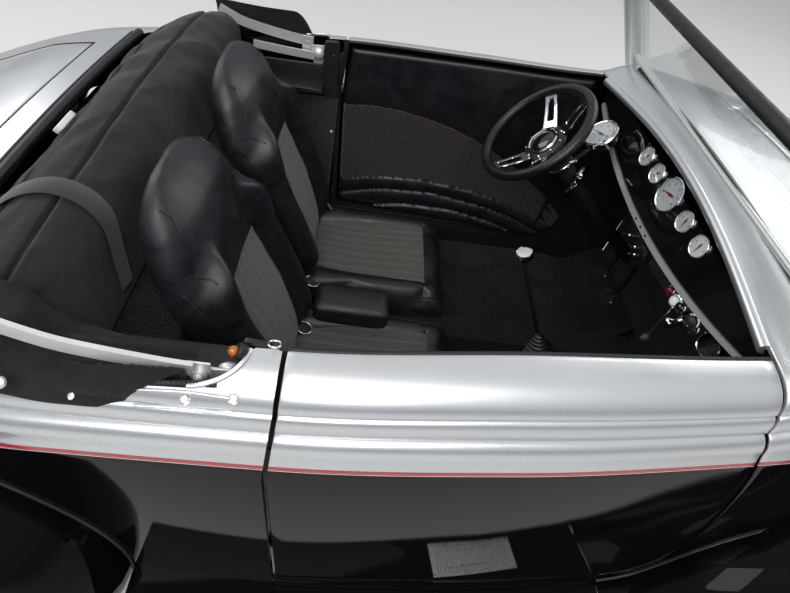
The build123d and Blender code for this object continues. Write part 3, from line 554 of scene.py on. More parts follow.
# The door's outline seen from the side, as x for each height.
DOOR_GAP = 0.007
door_rear = line_through(((0.36, -0.637), (0.86, -0.666), (1.0, -0.657), (1.3, -0.657)))
front_arcs = three_point_arc((0.150, 0.360), (0.236, 0.398), (0.272, 0.500), 14)
front_arcs += three_point_arc((0.272, 0.500), (0.262, 0.650), (0.186, 0.950), 16)[1:]
front_arcs += [(0.172, 1.010), (0.172, 1.300)]
door_front = line_through([(z, x) for x, z in front_arcs])

# Doors. Each is a pressed skin hemmed round a frame, hung at the front on hidden hinges; the
# lower front corner follows the sweep of the fender.
DOOR_FOOT = 0.360
DOOR_IN = ((-0.700, 0.592), (-0.660, 0.589), (0.173, 0.526), (0.300, 0.512))
door_in = line_through(DOOR_IN)
for hand, side in SIDES:
    outer, inner, heights = panel_grid(BODY_STATIONS, side, door_rear, door_front, 40, DOOR_FOOT)
    rows = len(outer[0])
    for column, under in zip(outer, inner):
        for j in range(rows):
            ceiling = column[-1].z - 0.022
            height = min(column[j].z, DOOR_FOOT + (ceiling - DOOR_FOOT) * j / (rows - 1))
            under[j] = Vector((column[j].x, side * (door_in(column[j].x) + 0.012), height))
    shell(
        f"door_skin_{hand}", outer, inner, two_tone_paint, (f"door_{hand}",), heights, 0.0022,
        body=f"door_{hand}"
    )

# Cowl. One pressing from the door's front edge to the firewall, its top rolled down round the
# dash opening; the sweep of the fender meets its lower side.
COWL_FRONT = 0.490
cowl_rear = line_through([(z, x + DOOR_GAP) for x, z in front_arcs[1:]])
DASH_MOUTH = three_point_arc((0.178, -0.500), (0.214, 0.0), (0.178, 0.500), 24)
dash_mouth = line_through([(y, x) for x, y in DASH_MOUTH])


def cowl_columns(side, columns):
    """The cowl's half skin, its top drawn back to the curved dash opening."""
    outer, inner, heights = panel_grid(
        BODY_STATIONS, side, cowl_rear, lambda z: COWL_FRONT, columns, 0.360, True
    )
    rows = len(outer[0])
    top_row = rows - 1 - TOP_STEPS
    for j in range(top_row, rows):
        for i in range(columns + 1):
            y_share = abs(outer[0][j].y)
            start = dash_mouth(y_share) if y_share < 0.5 else outer[0][top_row].x
            x = start + (COWL_FRONT - start) * i / columns
            y, z, mark = body_profile(BODY_STATIONS, x, 0.360, True)[j]
            outer[i][j] = Vector((x, side * y, z))
            inner[i][j] = Vector((x, side * y, z - SHEET_DEPTH))
            heights[i][j] = mark
    return outer, inner, heights


left = cowl_columns(1, 22)
right = cowl_columns(-1, 22)
# Both halves share the centre line, so the left rows are followed by the right rows reversed.
cowl_grids = [[a + b[::-1][1:] for a, b in zip(one, other)] for one, other in zip(left, right)]
shell("cowl_skin", cowl_grids[0], cowl_grids[1], two_tone_paint, ("cowl",), cowl_grids[2], 0.0022)

# Rear body. The quarters, the deck and the tail are one skin; the cab, the well of the folded
# top, the luggage lid and the two wheel arches are cut out of it, and each cut edge is turned in.
REAR_END = -1.950
quarter_edge = line_through(((0.30, -0.641), (0.36, -0.645), (0.86, -0.674), (1.0, -0.665), (1.3, -0.665)))


def prism(outline, low, high, axis="z"):
    """A closed block over an outline, used only as a cutter."""
    count = len(outline)
    if axis == "z":
        verts = [(x, y, low) for x, y in outline] + [(x, y, high) for x, y in outline]
    else:
        verts = [(x, low, z) for x, z in outline] + [(x, high, z) for x, z in outline]
    faces = [tuple(range(count))[::-1], tuple(range(count, 2 * count))]
    faces += [(k, (k + 1) % count, count + (k + 1) % count, count + k) for k in range(count)]
    cutter = mesh_object("cutter", verts, faces)
    face_outward(cutter.data)
    return cutter


def cut(piece, cutters):
    """Cuts blocks out of a piece and removes the cutters."""
    for cutter in cutters:
        step = piece.modifiers.new("cut", "BOOLEAN")
        step.operation = "DIFFERENCE"
        step.object = cutter
        step.solver = "EXACT"
        bake_modifiers(piece)
        bpy.data.objects.remove(cutter)
    return piece


def both_sides(points):
    """A plan outline for the left half, closed with its mirror image."""
    return [(x, y) for x, y in points] + [(x, -y) for x, y in reversed(points)]


left = panel_grid(BODY_STATIONS, 1, lambda z: REAR_END, quarter_edge, 60, None, True, 0.014)
right = panel_grid(BODY_STATIONS, -1, lambda z: REAR_END, quarter_edge, 60, None, True, 0.014)
grids = [[a + b[::-1][1:] for a, b in zip(one, other)] for one, other in zip(left, right)]
outer, inner, heights = grids
rows = len(outer[0])
# The skin turns in round the tail; the pan that closes it is a sheet of its own.
TAIL_RINGS, PAN_SHARE = (0.985, 0.94), 0.948
tail_outer, tail_inner, tail_marks = [], [], []
for share in TAIL_RINGS:
    ring = [Vector((REAR_END - 0.003 * (share < 0.95), p.y * share, p.z)) for p in outer[0]]
    tail_outer.insert(0, ring)
    tail_inner.insert(0, [p + Vector((0.014, 0, 0)) for p in ring])
    tail_marks.insert(0, heights[0])
half_rows = outer[0][: (rows + 1) // 2 - 1]
pan, pan_back, pan_marks = [], [], []
for k in range(49):
    share = PAN_SHARE * (2 * k / 48 - 1)
    pan.append(
        [
            Vector((REAR_END - 0.003 - 0.003 * (1 - share * share), p.y * share, p.z - 0.004))
            for p in half_rows
        ]
    )
    pan_back.append([p + Vector((0.010, 0, 0)) for p in pan[-1]])
    pan_marks.append(heights[0][: len(half_rows)])
shell("tail_pan", pan, pan_back, two_tone_paint, heights=pan_marks, edge=0.0012)
outer, inner, heights = tail_outer + outer, tail_inner + inner, tail_marks + heights
rear_skin = grid_object("rear_body_skin", outer, inner, heights)
face_outward(rear_skin.data)
ARCH_STEPS = 48
arches = []
for side in (1, -1):
    ring = [
        (-1.400 + 0.395 * cos(tau * k / ARCH_STEPS), 0.350 + 0.395 * sin(tau * k / ARCH_STEPS))
        for k in range(ARCH_STEPS)
    ]
    low, high = sorted((side * 0.56, side * 0.95))
    arches.append(prism(ring, low, high, "y"))
CAB = ((-0.995, 0.585), (-0.660, 0.589), (-0.500, 0.580))
TOP_WELL = (
    (-1.300, 0.500), (-1.285, 0.520), (-1.060, 0.640), (-0.860, 0.655), (-0.790, 0.655), (-0.762, 0.650),
    (-0.742, 0.640), (-0.726, 0.622), (-0.718, 0.600), (-0.716, 0.575),
)
LUGGAGE = ((-1.807, 0.262), (-1.532, 0.416), (-1.403, 0.417))
cutters = arches + [prism(both_sides(CAB), 0.30, 1.3), prism(both_sides(TOP_WELL), 0.88, 1.3)]
cutters.append(prism(both_sides(LUGGAGE), 0.70, 1.3))
cut(rear_skin, cutters)
dress(rear_skin, two_tone_paint, ("rear_body",))

# Luggage lid. A flat crowned pressing flush with the deck, hinged along its front edge.
LID = ((-1.800, 0.255), (-1.530, 0.408), (-1.410, 0.410))
lid_edge = line_through(LID)
outer, inner = [], []
LID_COLUMNS, LID_ROWS = 30, 30
for i in range(LID_COLUMNS + 1):
    x = LID[0][0] + (LID[-1][0] - LID[0][0]) * i / LID_COLUMNS
    column = []
    for j in range(LID_ROWS + 1):
        y = lid_edge(x) * (2 * j / LID_ROWS - 1)
        _, _, _, _, top_y, top_z, crown_z = smooth_row(BODY_STATIONS, x)
        if abs(y) <= top_y:
            z = top_z + (crown_z - top_z) * (1 - (y / top_y) ** 2)
        else:
            z = top_z - (abs(y) - top_y) * 0.18
        column.append(Vector((x, y, z)))
    outer.append(column)
    inner.append([p - Vector((0, 0, 0.018)) for p in column])
shell("deck_lid_skin", outer, inner, plain_silver, ("deck_lid",), edge=0.0025, body="deck_lid")

# Sills. The narrow strips of body under the doors, painted with the lower side.
for hand, side in SIDES:
    outer, inner = [], []
    for i in range(41):
        x = -0.641 + (0.158 + 0.641) * i / 40
        foot_y = smooth_row(BODY_STATIONS, x)[0]
        belt_y, belt_z = smooth_row(BODY_STATIONS, x)[2:4]
        line = []
        for z in (0.308, 0.320, 0.335, 0.348, 0.353):
            t = (z - 0.310) / (belt_z - 0.310)
            pull = 0.004 if z == 0.353 else 0.0
            line.append(
                Vector((x, side * (foot_y + (belt_y - foot_y) * t + SIDE_SWELL * 4 * t * (1 - t) - pull), z))
            )
        outer.append(line)
        inner.append([Vector((p.x, p.y - side * 0.05, p.z)) for p in line])
    shell(f"sill_{hand}", outer, inner, gloss_black, ("sills",))

# Front fenders. Long swept wings, highest against the hood and low at the outside, their outer
# edge turned under in a wired bead; the tail runs down on to the running board.
# Columns: x, height of the crown, slope of the path, inner edge, shoulder and outer edge, drops
# at the shoulder and at the edge.
WING_STATIONS = (
    (0.165, 0.310, 0.0, 0.640, 0.800, 0.848, 0.002, 0.028),
    (0.235, 0.342, 18.0, 0.640, 0.795, 0.848, 0.022, 0.055),
    (0.300, 0.415, 28.0, 0.630, 0.782, 0.849, 0.065, 0.105),
    (0.350, 0.480, 32.0, 0.618, 0.775, 0.850, 0.090, 0.140),
    (0.430, 0.535, 26.0, 0.600, 0.765, 0.852, 0.100, 0.160),
    (0.600, 0.588, 16.0, 0.535, 0.757, 0.856, 0.085, 0.165),
    (0.790, 0.636, 13.0, 0.450, 0.752, 0.858, 0.068, 0.158),
    (1.080, 0.690, 8.0, 0.330, 0.742, 0.862, 0.052, 0.148),
    (1.330, 0.724, 5.0, 0.250, 0.735, 0.868, 0.052, 0.146),
    (1.545, 0.728, 0.0, 0.240, 0.725, 0.872, 0.060, 0.150),
    (1.760, 0.680, -27.0, 0.240, 0.720, 0.866, 0.055, 0.140),
    (1.898, 0.565, -55.0, 0.310, 0.705, 0.848, 0.045, 0.110),
    (1.948, 0.440, -80.0, 0.420, 0.690, 0.815, 0.030, 0.070),
)
HOOD_STATIONS = (
    (0.490, 0.603, 0.470, 0.585, 0.955, 0.455, 1.135, 1.168),
    (0.990, 0.365, 0.560, 0.390, 0.930, 0.290, 1.098, 1.125),
    (1.490, 0.195, 0.640, 0.215, 0.905, 0.140, 1.055, 1.082),
    (1.640, 0.150, 0.664, 0.166, 0.897, 0.100, 1.042, 1.069),
)


def side_width(x, z):
    """Half width of the body or hood skin at a place on its side."""
    table = BODY_STATIONS if x < 0.490 else HOOD_STATIONS
    foot_y, foot_z, belt_y, belt_z = smooth_row(table, x)[:4]
    t = min(max((z - foot_z) / (belt_z - foot_z), 0.0), 1.0)
    return foot_y + (belt_y - foot_y) * t + SIDE_SWELL * 4 * t * (1 - t)


CROWN_STEPS, SKIRT_STEPS = 16, 10
WING_SKIN, BEAD_R = 0.006, 0.006
ARCH_R = 0.330
wing_path = []
for a, b in zip(WING_STATIONS, WING_STATIONS[1:]):
    steps = max(3, round((b[0] - a[0]) * 40), round(abs(b[1] - a[1]) * 60))
    wing_path += [a[0] + (b[0] - a[0]) * k / steps for k in range(steps)]
wing_path.append(WING_STATIONS[-1][0])
for hand, side in SIDES:
    outer, inner = [], []
    for x in wing_path:
        z, slope, y_in, y_shoulder, y_out, drop_shoulder, drop_out = smooth_row(WING_STATIONS, x)
        y_in = max(y_in, side_width(x, z) - 0.010) if x < 1.5 else y_in
        reach = x - 1.545
        if abs(reach) < ARCH_R:
            drop_out = min(drop_out, max(drop_shoulder + 0.02, z - 0.300 - sqrt(ARCH_R**2 - reach**2)))
        crown = three_point_arc(
            (y_in, 0), ((y_in + y_shoulder) / 2, 0.006), (y_shoulder, -drop_shoulder), CROWN_STEPS
        )
        knee = ((y_shoulder + y_out) / 2 + 0.020, -(drop_shoulder + drop_out) / 2 + 0.016)
        skirt = three_point_arc((y_shoulder, -drop_shoulder), knee, (y_out, -drop_out), SKIRT_STEPS)
        line = crown + skirt[1:]
        last = line[-1]
        for k in range(1, 6):
            turn = pi * k / 5
            line.append((last[0] - BEAD_R * (1 - cos(turn)), last[1] - BEAD_R * sin(turn)))
        tilt = radians(slope)
        column, under = [], []
        for k, (y, n) in enumerate(line):
            column.append(Vector((x - n * sin(tilt), side * y, z + n * cos(tilt))))
            pull = min(1.0, k / CROWN_STEPS)
            y2, n2 = y - WING_SKIN * pull * 0.8, n - WING_SKIN * (1 - 0.6 * pull)
            if k > len(line) - 6:
                y2, n2 = last[0] - WING_SKIN * 1.3, last[1] + WING_SKIN * (1 + (len(line) - k) * 0.2)
            under.append(Vector((x - n2 * sin(tilt), side * y2, z + n2 * cos(tilt))))
        outer.append(column)
        inner.append(under)
    shell(f"front_fender_{hand}", outer, inner, gloss_black, ("front_fenders",), edge=0, smooth=40)

# Rear fenders. Crowned shells turned round the wheel, closed against the quarter by a welt.
REAR_AXLE = (-1.400, 0.350)
REAR_CROWN = ((0.720, 0.434), (0.775, 0.428), (0.822, 0.412), (0.852, 0.398), (0.866, 0.380), (0.868, 0.373))
FENDER_SWEEP = (radians(-9.4), radians(189.4))


def turned_point(angle, y, radius):
    """A point at a radius from the rear axle line."""
    return Vector((REAR_AXLE[0] + radius * cos(angle), y, REAR_AXLE[1] + radius * sin(angle)))


for hand, side in SIDES:
    outer, inner = [], []
    for i in range(73):
        angle = FENDER_SWEEP[0] + (FENDER_SWEEP[1] - FENDER_SWEEP[0]) * i / 72
        x, z = REAR_AXLE[0] + 0.430 * cos(angle), REAR_AXLE[1] + 0.430 * sin(angle)
        inside = max(0.592, side_width(x, z) - 0.012) if x < -0.98 else side_width(x, z) - 0.012
        inside = min(inside, 0.715)
        profile = [
            (inside + (0.720 - inside) * k / 6, 0.430 + 0.004 * k / 6) for k in range(6)
        ] + list(REAR_CROWN)
        profile += [(0.864, 0.368), (0.857, 0.368)]
        outer.append([turned_point(angle, side * y, r) for y, r in profile])
        inner.append(
            [
                turned_point(angle, side * (y - 0.007 * (k > 7)), r - (0.008 if k < 10 else -0.001))
                for k, (y, r) in enumerate(profile)
            ]
        )
    shell(f"rear_fender_{hand}", outer, inner, gloss_black, ("rear_fenders",), edge=0, smooth=40)

# Fender welts. Black rubber cord pinched in the joints between the fenders and the body.
welt_rubber = new_finish(
    "welt_rubber", "tyre_rubber", (0.012, 0.012, 0.013), 0.55, Specular_IOR_Level=0.4, wear=(40.0, 0.42, 0.65)
)[0]


def loft_faces(rings, sides, closed=False):
    """Faces between rings of points that follow each other, closed up or capped at both ends."""
    faces = []
    for m in range(rings if closed else rings - 1):
        a, b = m * sides, (m + 1) % rings * sides
        faces += [(a + k, a + (k + 1) % sides, b + (k + 1) % sides, b + k) for k in range(sides)]
    if not closed:
        faces += [tuple(range(sides)), tuple(range((rings - 1) * sides, rings * sides))]
    return faces


def tube(name, points, radius, material, nodes=(), closed=False, sides=10, flat=1.0, **home):
    """A round rod or cord that follows a line of points."""
    points = [Vector(p) for p in points]
    count = len(points)
    verts = []
    lift = Vector((0, 0, 1))
    for k, p in enumerate(points):
        before = points[(k - 1) % count] if closed or k else p
        after = points[(k + 1) % count] if closed or k < count - 1 else p
        run = (after - before).normalized()
        if abs(run.dot(lift)) > 0.98:
            lift = Vector((0, 1, 0)) if abs(run.y) < 0.9 else Vector((1, 0, 0))
        out = run.cross(lift).normalized()
        lift = out.cross(run).normalized()
        size = radius(k / max(1, count - 1)) if callable(radius) else radius
        verts += [
            p + out * (size * cos(tau * m / sides)) + lift * (size * flat * sin(tau * m / sides))
            for m in range(sides)
        ]
    return new_piece(name, verts, loft_faces(count, sides, closed), material, nodes, 50, **home)


for hand, side in SIDES:
    line = []
    for i in range(41):
        angle = radians(-9) + radians(170) * i / 40
        x, z = REAR_AXLE[0] + 0.434 * cos(angle), REAR_AXLE[1] + 0.434 * sin(angle)
        line.append((x, side * (side_width(x, z) + 0.001), z + 0.002))
    tube(f"rear_welt_{hand}", line, 0.0042, welt_rubber)
    line = []
    for x in wing_path:
        if 0.165 <= x <= 1.45:
            z = smooth_row(WING_STATIONS, x)[0]
            line.append((x, side * (side_width(x, z) + 0.001), z + 0.003))
    tube(f"front_welt_{hand}", line, 0.0042, welt_rubber)

# Running boards. Steel boards with a rolled outer edge, painted with the fenders.
BOARD_TOP, BOARD_DEPTH, BOARD_OUT = 0.310, 0.030, 0.848
BOARD_REAR, BOARD_FRONT = -0.965, 0.164
for hand, side in SIDES:
    outer, inner = [], []
    for i in range(47):
        x = BOARD_REAR + (BOARD_FRONT - BOARD_REAR) * i / 46
        inside = smooth_row(BODY_STATIONS, x)[0] - 0.004
        line = [(inside + (BOARD_OUT - 0.012 - inside) * k / 6, BOARD_TOP) for k in range(7)]
        line += [
            (BOARD_OUT - 0.012 + 0.012 * sin(pi / 2 * k / 5), BOARD_TOP - 0.012 * (1 - cos(pi / 2 * k / 5)))
            for k in range(1, 6)
        ]
        line += [(BOARD_OUT, BOARD_TOP - BOARD_DEPTH), (BOARD_OUT - 0.010, BOARD_TOP - BOARD_DEPTH)]
        outer.append([Vector((x, side * y, z)) for y, z in line])
        inner.append(
            [
                Vector(
                    (x, side * min(y, BOARD_OUT - 0.006), min(z, BOARD_TOP) - 0.005 if k < 11 else z + 0.001)
                )
                for k, (y, z) in enumerate(line)
            ]
        )
    shell(f"running_board_{hand}", outer, inner, gloss_black, ("running_boards",), edge=0, smooth=40)

# Step plates. Cast aluminium treads on the boards below the doors: a raised border, ribs
# across and a blank panel in the middle.
PLATE_X, PLATE_Y, PLATE_RISE = (-0.254, -0.030), (0.738, 0.823), 0.004
plate_metal, tree, shader = new_finish("cast_plate", "bright_trim", (0.62, 0.62, 0.63), 0.3, 1.0)
sand = use_group(tree, handling, Scale=60.0, Low=0.22, High=0.5)
tree.links.new(sand["Value"], shader.inputs["Roughness"])
emboss(tree, shader, 0.25, 0.0006, sand["Height"])


def slab(verts, faces, corners, low, high, chamfer=0.0008):
    """Adds one block with chamfered top edges to a list of points and faces."""
    base = len(verts)
    (x1, y1), (x2, y2) = corners
    for shrink, z in ((0, low), (0, high - chamfer), (chamfer, high)):
        verts += [
            (x1 + shrink, y1 + shrink, z), (x2 - shrink, y1 + shrink, z), (x2 - shrink, y2 - shrink, z),
            (x1 + shrink, y2 - shrink, z)
        ]
    for start in (0, 4):
        for k in range(4):
            a, b = base + start + k, base + start + (k + 1) % 4
            faces.append((a, b, b + 4, a + 4))
    faces.append((base + 3, base + 2, base + 1, base))
    faces.append((base + 8, base + 9, base + 10, base + 11))


for hand, side in SIDES:
    y1, y2 = sorted((side * PLATE_Y[0], side * PLATE_Y[1]))
    x1, x2 = PLATE_X
    top = BOARD_TOP + PLATE_RISE
    verts, faces = [], []
    slab(verts, faces, ((x1, y1), (x2, y2)), BOARD_TOP, top)
    border = 0.007
    for corners in (
        ((x1, y1), (x2, y1 + border)), ((x1, y2 - border), (x2, y2)),
        ((x1, y1 + border), (x1 + border, y2 - border)), ((x2 - border, y1 + border), (x2, y2 - border)),
    ):
        slab(verts, faces, corners, top, top + 0.002)
    middle_x, half = (x1 + x2) / 2, 0.036
    slab(verts, faces, ((middle_x - half, y1 + 0.024), (middle_x + half, y2 - 0.024)), top, top + 0.0018)
    rib = x1 + 0.014
    while rib < x2 - 0.016:
        for low, high in ((y1 + 0.010, y1 + 0.021), (y2 - 0.021, y2 - 0.010)):
            slab(verts, faces, ((rib, low), (rib + 0.0035, high)), top, top + 0.0018)
        if abs(rib - middle_x) > half + 0.006:
            slab(verts, faces, ((rib, y1 + 0.021), (rib + 0.0035, y2 - 0.021)), top, top + 0.0018)
        rib += 0.0082
    new_piece(f"step_plate_{hand}", verts, faces, plate_metal, smooth=20)

# Cowl roll. The cowl's rear edge is turned under round the dash opening like a thick pipe.
ROLL = 0.013
roll_line = []
for k in range(81):
    y = 0.498 * (2 * k / 80 - 1)
    x = dash_mouth(y) + 0.002
    roll_line.append((x, y, crown_height(x, y) - ROLL + 0.0006))
tube("cowl_roll", roll_line, ROLL, plain_silver, sides=24)

# Wheels. Cast alloy, five raked spokes from a raised hub to a stepped, polished lip, with five
# lug nuts round a plain cap; low tyres with plain walls and a blocked road tread.
tyre_rubber, tree, shader = new_finish(
    "tyre_rubber", "tyre_rubber", (0.014, 0.014, 0.015), 0.72, Specular_IOR_Level=0.35
)
dusty = use_group(tree, handling, Scale=14.0, Low=0.6, High=0.88)
tree.links.new(dusty["Value"], shader.inputs["Roughness"])
dust = remap(tree, dusty["Value"], 0.6, 0.88)
tint(tree, shader, dust, (0.010, 0.010, 0.011), (0.030, 0.029, 0.027))
alloy = new_finish("wheel_alloy", "rim_alloy", (0.66, 0.67, 0.69), 0.18, 1.0, wear=(12.0, 0.12, 0.26))[0]


def wheel_point(centre, side, angle, radius, out):
    """A point of a wheel: round its axle, and outwards from its middle plane."""
    return Vector((centre[0] + radius * cos(angle), centre[1] + side * out, centre[2] + radius * sin(angle)))


def ring_of(name, profile, centre, side, count, material, nodes=(), closed=True, smooth=35, **home):
    """A turned ring about an axle from (radius, out) pairs; the profile may close on itself."""
    verts = [wheel_point(centre, side, tau * k / count, r, w) for r, w in profile for k in range(count)]
    return new_piece(name, verts, loft_faces(len(profile), count, closed), material, nodes, smooth, **home)


AXLES = (("front", 1.545, 0.670, 0.300, 0.155, 0.190), ("rear", -1.400, 0.715, 0.350, 0.250, 0.215))
for end, axle_x, track, tyre_r, width, rim_r in AXLES:
    for hand, side in SIDES:
        centre, body = (axle_x, side * track, tyre_r), f"wheel_{end}_{hand}"
        half = width / 2
        # Tyre carcass: wall, shoulder and crown, with the bead tucked into the rim.
        wall = [(rim_r - 0.004, -half * 0.80), (rim_r + 0.004, -half * 0.86)]
        for k in range(1, 12):
            t = k / 12
            wall.append(
                (
                    rim_r + (tyre_r - 0.020 - rim_r) * t,
                    -half * (0.86 + 0.125 * sin(pi * min(1.0, t * 1.1)) ** 0.8)
                )
            )
        shoulder = [(tyre_r - 0.013, -half * 0.93), (tyre_r - 0.009, -half * 0.84)]
        crown = [(tyre_r - 0.0078, half * (-0.70 + 1.40 * k / 8)) for k in range(9)]
        profile = wall + shoulder + crown + [(r, -w) for r, w in reversed(wall + shoulder)]
        ring_of(
            f"tyre_skin_{end}_{hand}", profile, centre, side, 144, tyre_rubber, (f"tyre_{end}_{hand}",),
            body=body
        )
        # Tread blocks: ribs round the middle and shoulder blocks, cut by slanted grooves.
        verts, faces = [], []
        lanes = (
            (-0.90, -0.62, 60), (-0.55, -0.22, 72), (-0.15, 0.15, 72), (0.22, 0.55, 72), (0.62, 0.90, 60)
        )
        for low, high, blocks in lanes:
            for n in range(blocks):
                for share in (0.0, 0.84):
                    for w_share in (low, high):
                        angle = tau * (n + share) / blocks + 0.022 * w_share
                        w = half * w_share
                        top = tyre_r - 0.0002 - 0.005 * max(0.0, abs(w_share) - 0.6) / 0.3
                        for r in (tyre_r - 0.014, top):
                            verts.append(wheel_point(centre, side, angle, r, w))
                b = len(verts) - 8
                faces += [
                    (b + 1, b + 3, b + 7, b + 5), (b, b + 1, b + 5, b + 4), (b + 2, b + 6, b + 7, b + 3),
                    (b, b + 2, b + 3, b + 1), (b + 4, b + 5, b + 7, b + 6), (b, b + 4, b + 6, b + 2)
                ]
        new_piece(f"tread_{end}_{hand}", verts, faces, tyre_rubber, smooth=0, body=body)
        # Rim: barrel with a stepped lip, and a hub face carrying the spokes.
        barrel = [
            (rim_r + 0.001, -half * 0.84), (rim_r - 0.008, -half * 0.80), (rim_r - 0.020, -half * 0.5),
            (rim_r - 0.022, half * 0.2)
        ]
        barrel += [
            (rim_r - 0.018, half * 0.55), (rim_r - 0.014, half * 0.74), (rim_r - 0.004, half * 0.80),
            (rim_r + 0.002, half * 0.86)
        ]
        barrel += [
            (rim_r + 0.006, half * 0.86), (rim_r + 0.006, half * 0.82), (rim_r - 0.004, half * 0.72),
            (rim_r - 0.010, 0.0), (rim_r - 0.004, -half * 0.80)
        ]
        ring_of(
            f"rim_barrel_{end}_{hand}", barrel, centre, side, 96, alloy, (f"rim_{end}_{hand}",), body=body
        )
        face_out = half * 0.42
        verts, faces = [], []
        steps, strips = 12, 9
        for spoke in range(5):
            base = len(verts)
            middle_angle = tau * spoke / 5 + pi / 2
            for s in range(steps + 1):
                t = s / steps
                r = 0.050 + (rim_r - 0.014 - 0.050) * t
                wide = 0.030 + 0.012 * t - 0.014 * sin(pi * t)
                for m in range(strips):
                    q = 2 * m / (strips - 1) - 1
                    a = middle_angle + wide * q / r
                    out = face_out + 0.014 * (1 - t) ** 2 + 0.012 * t**3 - 0.009 * abs(q) ** 3
                    verts.append(wheel_point(centre, side, a, r, out))
                for m in range(strips):
                    q = 2 * m / (strips - 1) - 1
                    a = middle_angle + (wide * 0.82) * q / r
                    verts.append(wheel_point(centre, side, a, r, face_out - 0.026))
            row = 2 * strips
            for s in range(steps):
                a, b = base + s * row, base + (s + 1) * row
                faces += [(a + m, a + m + 1, b + m + 1, b + m) for m in range(strips - 1)]
                faces += [
                    (a + strips + m, b + strips + m, b + strips + m + 1, a + strips + m + 1)
                    for m in range(strips - 1)
                ]
                faces += [
                    (a, b, b + strips, a + strips), (a + strips - 1, a + row - 1, b + row - 1, b + strips - 1)
                ]
            for s in (0, steps):
                a = base + s * row
                faces.append([a + m for m in range(strips)] + [a + row - 1 - m for m in range(strips)])
        new_piece(f"spokes_{end}_{hand}", verts, faces, alloy, smooth=45, body=body)
        hub = [
            (0.0001, -half * 0.2), (0.060, -half * 0.2), (0.068, face_out - 0.010), (0.066, face_out + 0.010),
            (0.058, face_out + 0.016), (0.034, face_out + 0.017), (0.033, face_out + 0.026),
            (0.027, face_out + 0.031), (0.0001, face_out + 0.033)
        ]
        ring_of(f"hub_face_{end}_{hand}", hub, centre, side, 64, alloy, closed=False, body=body)
        for n in range(5):
            a = tau * (n + 0.5) / 5 + pi / 2
            nut_centre = (centre[0] + 0.0475 * cos(a), centre[1], centre[2] + 0.0475 * sin(a))
            nut = [
                (0.0001, face_out + 0.002), (0.0095, face_out + 0.002), (0.0095, face_out + 0.022),
                (0.007, face_out + 0.027), (0.0001, face_out + 0.029)
            ]
            ring_of(
                f"lug_nut_{end}_{hand}_{n}", nut, nut_centre, side, 6, alloy, closed=False, smooth=20,
                body=body
            )

# Hood. Two top panels that fold up from a hinge along the centre line, and louvred sides fixed
# below the belt; the coach line and the two beads run on along them to the grille shell.
HOOD_REAR, HOOD_SPLIT, HOOD_SKIN = 0.496, 0.0025, 0.014
HOOD_FRONT_X, HOOD_RAKE = 1.640, sin(radians(12)) / cos(radians(12))


def hood_front(z):
    """The hood's front edge, raked with the grille shell."""
    return HOOD_FRONT_X - (z - 0.740) * HOOD_RAKE


for hand, side in SIDES:
    outer, inner, heights = panel_grid(
        HOOD_STATIONS, side, lambda z: HOOD_REAR, hood_front, 46, None, True, HOOD_SKIN
    )
    start = SIDE_STEPS
    lift = 0.003
    top, under, marks = [], [], []
    for column, low, mark in zip(outer, inner, heights):
        line = [p.copy() for p in column[start:]]
        line[0].z += lift
        line[-1].y = side * HOOD_SPLIT
        top.append(line)
        low_line = [p.copy() for p in low[start:]]
        low_line[0].z = max(low_line[0].z, line[0].z)
        low_line[-1].y = side * HOOD_SPLIT
        under.append(low_line)
        marks.append([max(m, 0.0095) for m in mark[start:]])
    shell(
        f"hood_skin_{hand}", top, under, two_tone_paint, (f"hood_{hand}",), marks, 0.0018, body=f"hood_{hand}"
    )
    # Side: a flat louvred sheet with the painted line along its upper edge.
    face, back, marks = [], [], []
    rows = 54
    for column in outer:
        line, low_line, mark = [], [], []
        foot, belt = column[0], column[start]
        span = belt.z - 0.003 - foot.z
        for j in range(rows + 1):
            z = foot.z + span * j / rows
            t = (z - foot.z) / (belt.z - foot.z)
            y = abs(foot.y) + (abs(belt.y) - abs(foot.y)) * t + SIDE_SWELL * 4 * t * (1 - t)
            line.append(Vector((column[0].x + (column[start].x - column[0].x) * t, side * y, z)))
            mark.append(z - belt.z + 0.0095 + 0.003)
        face.append(line)
        back.append([p - Vector((0, side * 0.005, 0)) for p in line])
        marks.append(mark)
    shell(
        f"hood_side_{hand}", face, back, two_tone_paint, ("hood_sides",) if side > 0 else (), marks, 0.0012,
        slot_name="black_paint"
    )
    verts, faces = [], []
    for n in range(22):
        x = 0.640 + 0.036 * n
        foot_y, foot_z, belt_y, belt_z = smooth_row(HOOD_STATIONS, x)[:4]
        low, high = max(foot_z, 0.64) + 0.035, belt_z - 0.060
        base = len(verts)
        for k in range(15):
            z = low + (high - low) * k / 14
            y = side_width(x, z)
            swell = 0.011 * sin(pi * k / 14) ** 0.35
            lean = 0.004 * (k / 14)
            for dx, stand_out in (
                (-0.013, 0.0), (-0.007, 0.45), (0.001, 0.92), (0.005, 1.0), (0.0062, 0.86), (0.0062, 0.0)
            ):
                y_here = side_width(x + dx, z) + swell * stand_out - 0.0004
                verts.append(Vector((x + dx - lean, side * y_here, z)))
        for k in range(14):
            a = base + k * 6
            faces += [(a + m, a + m + 1, a + m + 7, a + m + 6) for m in range(5)]
        for k in range(14):
            a = base + k * 6
            faces.append((a, a + 6, a + 11, a + 5))
        faces += [tuple(base + m for m in range(6)), tuple(base + 84 + m for m in range(6))]
    new_piece(f"louvres_{hand}", verts, faces, gloss_black, smooth=50)

